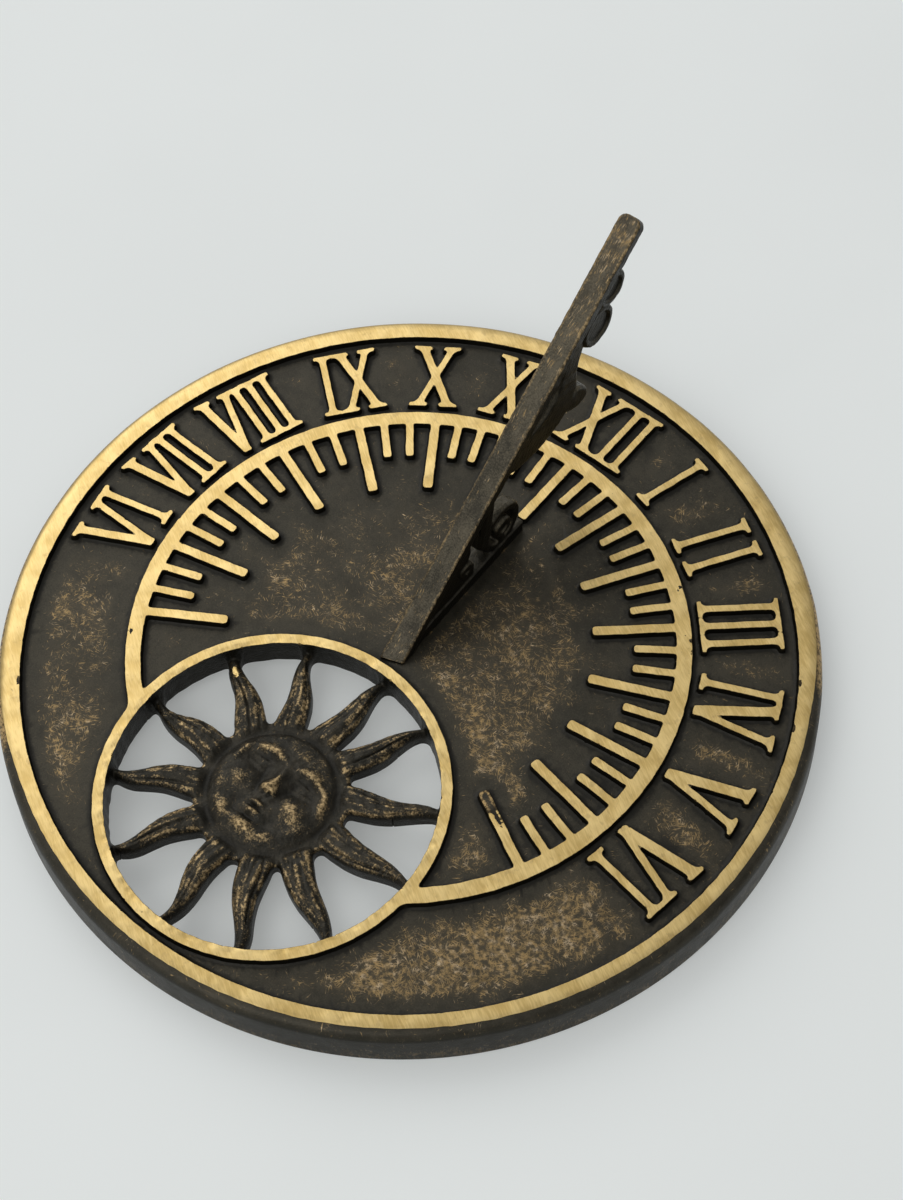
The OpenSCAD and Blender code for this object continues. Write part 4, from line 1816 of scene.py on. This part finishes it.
@dataclass(frozen=True)
class CastFinish:
    """Dark patina on cast brass, linished bright on its raised faces and rubbed on what stands proud.

    Rubbing shows from rub_from and is full at rub_full, where rub_most of the rubbed colour shows.
    grit makes its border uneven. The field is rubbed thin from open_from to open_full millimetres
    off what stands on it, and lean adds haze and strokes with each millimetre along X and Y.
    streak_ways and streak_turn stretch and turn the clouds of the patina.
    """

    name: str
    dark: Colour = (0.033, 0.029, 0.019)
    light: Colour = (0.053, 0.046, 0.031)
    # Near black: painted shade on sides and walls, and the dark patina kept in hollows.
    shade_and_hollow: Colour = (0.010, 0.009, 0.006)
    haze: Colour = (0.105, 0.082, 0.048)
    fleck: Colour = (0.36, 0.245, 0.11)
    fleck_pale: Colour = (0.56, 0.43, 0.27)
    rubbed: Colour = (0.42, 0.285, 0.125)
    glint_parts: tuple[float, float] = (0.32, 1.5)
    brass: Colour = (0.90, 0.67, 0.29)
    brass_low: Colour = (0.66, 0.46, 0.165)
    # Brass where it slopes: less polished, and darkened with painted shade
    brass_dull_and_shaded: Colour = (0.42, 0.295, 0.115)
    pit: Colour = (0.16, 0.11, 0.05)
    rub_from: float = 0.30
    rub_full: float = 0.95
    rub_most: float = 0.8
    # How much painted shade darkens faces that don't look up
    painted_side_shade: float = 0.75
    open_from: float = 2.0
    open_full: float = 9.0
    lean: tuple[float, float] = (0.0013, -0.0010)
    stroke_angles: tuple[float, ...] = (8, 41, 78, 117, 152)
    streak_ways: tuple[float, float, float] = (1.0, 1.0, 1.0)
    streak_turn: tuple[float, float, float] = (0.0, 0.0, 0.0)
    patina_metal: float = 0.6
    patina_rough: float = 0.42
    brass_rough: float = 0.36
    depth: float = 0.10
    grit: float = 1.0

    def _strokes(self, nodes: Nodes, thinned: Socket) -> Socket:
        """Draw short strokes in all directions, as gritty rags leave them, most where it is rubbed thin.

        Args:
            nodes: Writer of the material's nodes.
            thinned: How far the patina is rubbed thin.

        Returns:
            Where strokes are, from 0 to 1.
        """
        marks = None
        for k, angle in enumerate(self.stroke_angles):
            thin = nodes.noise(0.36, 1.0, 3 + k, (7, 1, 7), (0, 0, angle))
            here = nodes.noise(6.0, 2, 20 + k)
            thin = nodes.math("MULTIPLY_ADD", here, 0.55, thin)
            mark = nodes.rise(nodes.math("MULTIPLY_ADD", thinned, 0.25, thin), 1.03, 1.17)
            marks = mark if marks is None else nodes.math("MAXIMUM", marks, mark)
        return nodes.math("MULTIPLY", marks, nodes.rise(nodes.noise(1.8, 4, 14), 0.35, 0.62))

    def _thinned(self, nodes: Nodes, open_: Socket) -> Socket:
        """Tell how far the patina is rubbed thin, most where the field lies open; the share also rises
        towards +X and -Y.

        Args:
            nodes: Writer of the material's nodes.
            open_: Distance to what stands on the field.

        Returns:
            How far the patina is rubbed thin, from 0 to 1.
        """
        groups = nodes.noise(17.0, 2, 9)
        clumps = nodes.noise(4.5, 4, 10)
        place = nodes.split(nodes.place)
        level = nodes.math("MULTIPLY_ADD", nodes.rise(open_, self.open_from, self.open_full), 0.40,
                           nodes.math("MULTIPLY", clumps, 0.55))
        level = nodes.math("MULTIPLY_ADD", groups, 0.6, level)
        # The level rises towards +X and -Y, which adds haze and strokes there.
        for axis, lean in zip("XY", self.lean):
            level = nodes.math("MULTIPLY_ADD", place[axis], lean, level)
        return nodes.rise(level, 0.60, 1.28)

    def _upward(self, nodes: Nodes) -> tuple[Socket, Socket]:
        """Tell how far a face looks up: a soft share for its painted shade, and one for the rubbing."""
        up = nodes.split(nodes.normal)["Z"]
        return nodes.rise(up, 0.15, 0.75), nodes.rise(up, -0.1, 0.45)

    def _brass(self, nodes: Nodes) -> tuple[Socket, Socket, Socket]:
        """Make the linished brass, duller and with painted shade where it slopes: colour, roughness and
        fine relief.

        Args:
            nodes: Writer of the material's nodes.

        Returns:
            Its colour, roughness and fine relief.
        """
        linish = nodes.noise(0.24, 2, 7, (34, 1, 34), (0, 0, -38))
        coarse = nodes.noise(0.6, 3, 8, (9, 1, 9), (0, 0, -24))
        sheen = nodes.noise(8.0, 2, 6)
        tint = nodes.math("MULTIPLY_ADD", coarse, 0.32, nodes.math("MULTIPLY", sheen, 0.45))
        tint = nodes.math("MULTIPLY_ADD", linish, 0.23, tint)
        colour = nodes.mix(nodes.rise(tint, 0.37, 0.62), self.brass_low, self.brass)
        # Where the brass slopes away its colour darkens: a duller, less polished shoulder, and painted
        # shade on it.
        sloping_shade = nodes.rise(nodes.split(nodes.normal)["Z"], 0.985, 0.86)
        colour = nodes.mix(nodes.math("MULTIPLY", sloping_shade, 0.75), colour, self.brass_dull_and_shaded)
        smudges = nodes.rise(nodes.noise(2.6, 5, 12), 0.56, 0.72)
        colour = nodes.mix(nodes.math("MULTIPLY", smudges, 0.35), colour, self.rubbed)
        pits = nodes.rise(nodes.noise(0.8, 4, 11), 0.71, 0.79)
        colour = nodes.mix(nodes.math("MULTIPLY", pits, 0.8), colour, self.pit)
        rough = nodes.span(coarse, self.brass_rough - 0.1, self.brass_rough + 0.12)
        lines = nodes.math("MULTIPLY_ADD", linish, 0.12, nodes.math("MULTIPLY", coarse, 0.3))
        lines = nodes.math("MULTIPLY_ADD", sheen, 3.0, lines)
        return colour, rough, nodes.math("MULTIPLY_ADD", pits, -0.5, lines)

    def material(self) -> bpy.types.Material:
        """Make the finish's material.

        Returns:
            The material.
        """
        nodes = Nodes.start(self.name)
        edge, open_, rub, gleam = (nodes.layer(name) for name in ("edge", "open", "rub", "gleam"))
        cloud = nodes.noise(24.0, 3, 1, self.streak_ways, self.streak_turn)
        mottle = nodes.noise(3.5, 6, 2, self.streak_ways, self.streak_turn)
        grain = nodes.noise(0.5, 3, 5)
        tone = nodes.math("MULTIPLY_ADD", cloud, 0.4, nodes.math("MULTIPLY", mottle, 0.6))
        tone = nodes.math("MULTIPLY_ADD", grain, 0.55, nodes.math("ADD", tone, -0.275))
        patina = nodes.mix(nodes.rise(tone, 0.36, 0.66), self.dark, self.light)
        thinned = self._thinned(nodes, open_)
        patina = nodes.mix(nodes.math("MULTIPLY", thinned, 0.40), patina, self.haze)
        strokes = self._strokes(nodes, thinned)
        fleck = nodes.mix(nodes.rise(nodes.noise(2.5, 3, 15), 0.48, 0.72), self.fleck, self.fleck_pale)
        patina = nodes.mix(strokes, patina, fleck)
        level, upward = self._upward(nodes)
        # Faces that don't look up get painted shade: their colour goes towards the near-black shade colour.
        shade = nodes.math("MULTIPLY_ADD", level, -self.painted_side_shade, self.painted_side_shade)
        patina = nodes.mix(shade, patina, self.shade_and_hollow)
        worn = nodes.math("MULTIPLY_ADD", rub, nodes.span(upward, 0.15, 1.0), gleam)
        for pattern in (mottle, grain):
            uneven = nodes.math("MULTIPLY_ADD", pattern, self.grit, -0.5 * self.grit)
            worn = nodes.math("ADD", worn, uneven)
        worn = nodes.math("MULTIPLY", nodes.rise(worn, self.rub_from, self.rub_full), self.rub_most)
        dim, glinting = (tuple(part * c for c in self.rubbed) for part in self.glint_parts)
        glints = nodes.mix(nodes.rise(nodes.noise(1.0, 4, 16), 0.38, 0.60), dim, glinting)
        patina = nodes.mix(worn, patina, glints)
        # Sunken places go towards near black: patina kept in the hollows, and painted shade in them.
        sunken_patina_and_shade = nodes.math("MULTIPLY", nodes.rise(rub, -0.15, -0.9), 0.8)
        patina = nodes.mix(sunken_patina_and_shade, patina, self.shade_and_hollow)
        # Along the raised forms' edges, on their walls and just past their feet, the colour goes near
        # black: patina kept in the corners, and painted shade on the walls.
        near = nodes.math("MULTIPLY", nodes.rise(edge, 1.2, 0.35), 0.85)
        patina = nodes.mix(near, patina, self.shade_and_hollow)
        ragged = nodes.math("ADD", edge, nodes.math("MULTIPLY_ADD", grain, 0.10, -0.05))
        bright = nodes.rise(ragged, 0.04, -0.04)
        brass, brass_rough, lines = self._brass(nodes)
        colour = nodes.mix(bright, patina, brass)
        bare = nodes.math("MAXIMUM", worn, strokes)
        metal = nodes.math("MAXIMUM", nodes.span(bare, self.patina_metal, 0.9), bright)
        patina_rough = nodes.span(mottle, self.patina_rough - 0.12, self.patina_rough + 0.12)
        change = nodes.math("SUBTRACT", brass_rough, patina_rough)
        rough = nodes.math("MULTIPLY_ADD", bright, change, patina_rough)
        cast = nodes.math("MULTIPLY_ADD", grain, 0.6, mottle)
        height = nodes.math("MULTIPLY_ADD", bright, nodes.math("SUBTRACT", lines, cast), cast)
        shine = nodes.span(level, 0.1, 0.5)
        return nodes.finish(nodes.surface(colour, metal, rough, height, self.depth, shine))


@dataclass(frozen=True)
class TurnedFinish:
    """Plain turned metal with fine tool marks, as on screws and washers."""

    name: str
    tone: Colour
    dull: Colour
    rough: float

    def material(self) -> bpy.types.Material:
        """Make the finish's material.

        Returns:
            The material.
        """
        nodes = Nodes.start(self.name)
        stain = nodes.noise(2.4, 4, 1)
        marks = nodes.noise(0.12, 2, 2, (1, 1, 12))
        colour = nodes.mix(nodes.rise(stain, 0.4, 0.7), self.tone, self.dull)
        rough = nodes.span(marks, self.rough - 0.1, self.rough + 0.15)
        return nodes.finish(nodes.surface(colour, 1.0, rough, marks, 0.02))


@dataclass(frozen=True)
class Lamp:
    """A large soft lamp that faces the dial, with its place and width in metres and its power in watts."""

    name: str
    at: tuple[float, float, float]
    size: float
    power: float


@dataclass
class Studio:
    """The pale floor, the soft light and the camera."""

    camera_at: tuple[float, float, float] = (201.2, -218.3, 519.9)
    looks_at: tuple[float, float, float] = (2.07, 19.0, 15.4)
    roll: float = 2.56
    photo_height: int = 1200
    focal_pixels: float = 1910.0
    sensor: float = 36.0
    floor_half: float = 4000.0
    floor_gap: float = 0.1
    floor_colour: Colour = (0.902, 0.929, 0.913)
    floor_tone: Colour = (0.942, 0.972, 0.954)
    floor_lift: float = 0.25
    backdrop_tone: Colour = (0.69, 0.715, 0.70)
    sky_colour: Colour = (0.97, 0.985, 1.0)
    sky_left: float = 0.70
    sky_right: float = 0.25
    sky_reach: float = 0.9
    lamps: tuple[Lamp, ...] = (Lamp("soft_box_left", (-1.8, 0.7, 1.7), 2.1, 14.0),
                               Lamp("soft_box_front", (0.2, -1.9, 2.0), 2.0, 16.0))

    def place_camera(self) -> None:
        """Set the camera where the photograph was taken from."""
        at, look = (np.array(v) for v in (self.camera_at, self.looks_at))
        forward = (look - at) / np.linalg.norm(look - at)
        right = np.cross(forward, [0.0, 0.0, 1.0])
        right /= np.linalg.norm(right)
        down = np.cross(forward, right)
        a = math.radians(self.roll)
        x_axis = math.cos(a) * right + math.sin(a) * down
        y_axis = math.sin(a) * right - math.cos(a) * down
        data = bpy.data.cameras.new("camera")
        data.sensor_width = self.sensor
        data.lens = self.sensor * self.focal_pixels / self.photo_height
        data.clip_start = 0.01
        camera = bpy.data.objects.new("camera", data)
        turned_to = Matrix(np.column_stack([x_axis, y_axis, -forward]).tolist()).to_4x4()
        camera.matrix_world = Matrix.Translation(Vector(at * MM)) @ turned_to
        bpy.context.scene.collection.objects.link(camera)
        bpy.context.scene.camera = camera

    def lay_floor(self) -> None:
        """Lay a wide pale floor just under the dial's foot."""
        nodes = Nodes.start("floor_paint")
        tone = nodes.noise(160.0, 3, 1)
        shade = tuple(0.97 * c for c in self.floor_colour)
        colour = nodes.mix(nodes.rise(tone, 0.3, 0.7), self.floor_colour, shade)
        rough = nodes.span(tone, 0.85, 0.95)
        painted = nodes.surface(colour, 0.0, rough, nodes.noise(0.6, 2, 2), 0.01)
        paths = nodes.add("ShaderNodeLightPath")
        seen = nodes.math("MAXIMUM", paths.outputs["Is Camera Ray"], paths.outputs["Is Glossy Ray"])
        seen = nodes.math("MAXIMUM", seen, paths.outputs["Is Transmission Ray"])
        glow = nodes.add("ShaderNodeEmission")
        nodes.join(self.floor_tone, glow.inputs["Color"])
        blend = nodes.add("ShaderNodeMixShader")
        nodes.join(nodes.math("MULTIPLY", seen, self.floor_lift), blend.inputs[0])
        nodes.join(painted, blend.inputs[1])
        nodes.join(glow.outputs[0], blend.inputs[2])
        material = nodes.finish(blend.outputs[0])
        half, z = self.floor_half * MM, -self.floor_gap * MM
        mesh = bpy.data.meshes.new("floor")
        corners = [(-half, -half, z), (half, -half, z), (half, half, z), (-half, half, z)]
        mesh.from_pydata(corners, [], [(0, 1, 2, 3)])
        mesh.materials.append(material)
        floor = bpy.data.objects.new("floor", mesh)
        bpy.context.scene.collection.objects.link(floor)

    def light_world(self) -> None:
        """Light the scene softly from all round, less from the right, before a plain pale backdrop."""
        world = bpy.data.worlds.new("studio")
        world.use_nodes = True
        tree = world.node_tree
        background = tree.nodes["Background"]
        background.inputs["Color"].default_value = (*self.sky_colour, 1.0)
        ways = tree.nodes.new("ShaderNodeTexCoord")
        parts = tree.nodes.new("ShaderNodeSeparateXYZ")
        fade = tree.nodes.new("ShaderNodeMapRange")
        ends = (-self.sky_reach, self.sky_reach, self.sky_left, self.sky_right)
        for number, target in zip(ends, fade.inputs[1:5]):
            target.default_value = number
        tree.links.new(ways.outputs["Generated"], parts.inputs[0])
        tree.links.new(parts.outputs["X"], fade.inputs[0])
        tree.links.new(fade.outputs[0], background.inputs["Strength"])
        backdrop = tree.nodes.new("ShaderNodeBackground")
        backdrop.inputs["Color"].default_value = (*self.backdrop_tone, 1.0)
        backdrop.inputs["Strength"].default_value = 1.0
        paths = tree.nodes.new("ShaderNodeLightPath")
        seen = tree.nodes.new("ShaderNodeMixShader")
        tree.links.new(paths.outputs["Is Camera Ray"], seen.inputs[0])
        tree.links.new(background.outputs[0], seen.inputs[1])
        tree.links.new(backdrop.outputs[0], seen.inputs[2])
        tree.links.new(seen.outputs[0], tree.nodes["World Output"].inputs["Surface"])
        bpy.context.scene.world = world

    def hang_lamps(self) -> None:
        """Hang the lamps, each turned to the dial."""
        for lamp in self.lamps:
            data = bpy.data.lights.new(lamp.name, "AREA")
            data.shape = "SQUARE"
            data.size = lamp.size
            data.energy = lamp.power
            hung = bpy.data.objects.new(lamp.name, data)
            hung.location = lamp.at
            hung.rotation_euler = (-Vector(lamp.at)).to_track_quat("-Z", "Y").to_euler()
            bpy.context.scene.collection.objects.link(hung)

    def build(self) -> None:
        """Set up the whole studio."""
        self.place_camera()
        self.lay_floor()
        self.light_world()
        self.hang_lamps()
        bpy.context.scene.view_settings.view_transform = "Standard"


FIELD_FINISH = CastFinish("field_patina")
SUN_FINISH = CastFinish("sun_patina", dark=(0.020, 0.018, 0.012), light=(0.046, 0.039, 0.026),
                        rubbed=(0.42, 0.30, 0.15), rub_from=0.4, rub_full=1.35, rub_most=0.9,
                        depth=0.3, grit=2.2)
GNOMON_FINISH = CastFinish("gnomon_patina", dark=(0.028, 0.024, 0.015), light=(0.110, 0.094, 0.062),
                           haze=(0.17, 0.140, 0.095), rub_from=0.55, rub_full=1.5, rub_most=0.42,
                           painted_side_shade=0.88, lean=(0.0, 0.0), stroke_angles=(80, 90, 101),
                           streak_ways=(1.0, 2.4, 1.0), streak_turn=(38.0, 0.0, 0.0), depth=0.2,
                           grit=1.4)
SCREW_FINISH = TurnedFinish("screw_brass", (0.72, 0.50, 0.19), (0.30, 0.19, 0.08), 0.35)
WASHER_FINISH = TurnedFinish("washer_steel", (0.56, 0.56, 0.55), (0.30, 0.29, 0.27), 0.38)


def dress(piece: bpy.types.Object, material: bpy.types.Material) -> None:
    """Give a piece its one material."""
    piece.data.materials.clear()
    piece.data.materials.append(material)


def main() -> None:
    """Build the sundial's pieces in order, dress them and set up the studio."""
    logging.basicConfig(level=logging.INFO, format="%(message)s")
    _, plate_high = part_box("dial_plate")
    plate = DialPlate(foot_r=plate_high.x / MM, top_z=plate_high.z / MM)
    castings = (
        (plate.build(), "dial_plate", FIELD_FINISH),
        (Sun(plate).build(), "dial_plate", SUN_FINISH),
        (Gnomon(plate.field_z).build(), "gnomon", GNOMON_FINISH),
    )
    for piece, node, finish in castings:
        dress(piece, finish.material())
        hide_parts(node)
        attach(piece, "root")
        log.info("%s: %d points, finish %s", piece.name, len(piece.data.vertices), finish.name)
    for node, finish in (("gnomon_screws", SCREW_FINISH), ("spring_washers", WASHER_FINISH)):
        dress(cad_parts[node], finish.material())
        log.info("%s: finish %s", node, finish.name)
    Studio().build()


if __name__ == "__main__":
    main()
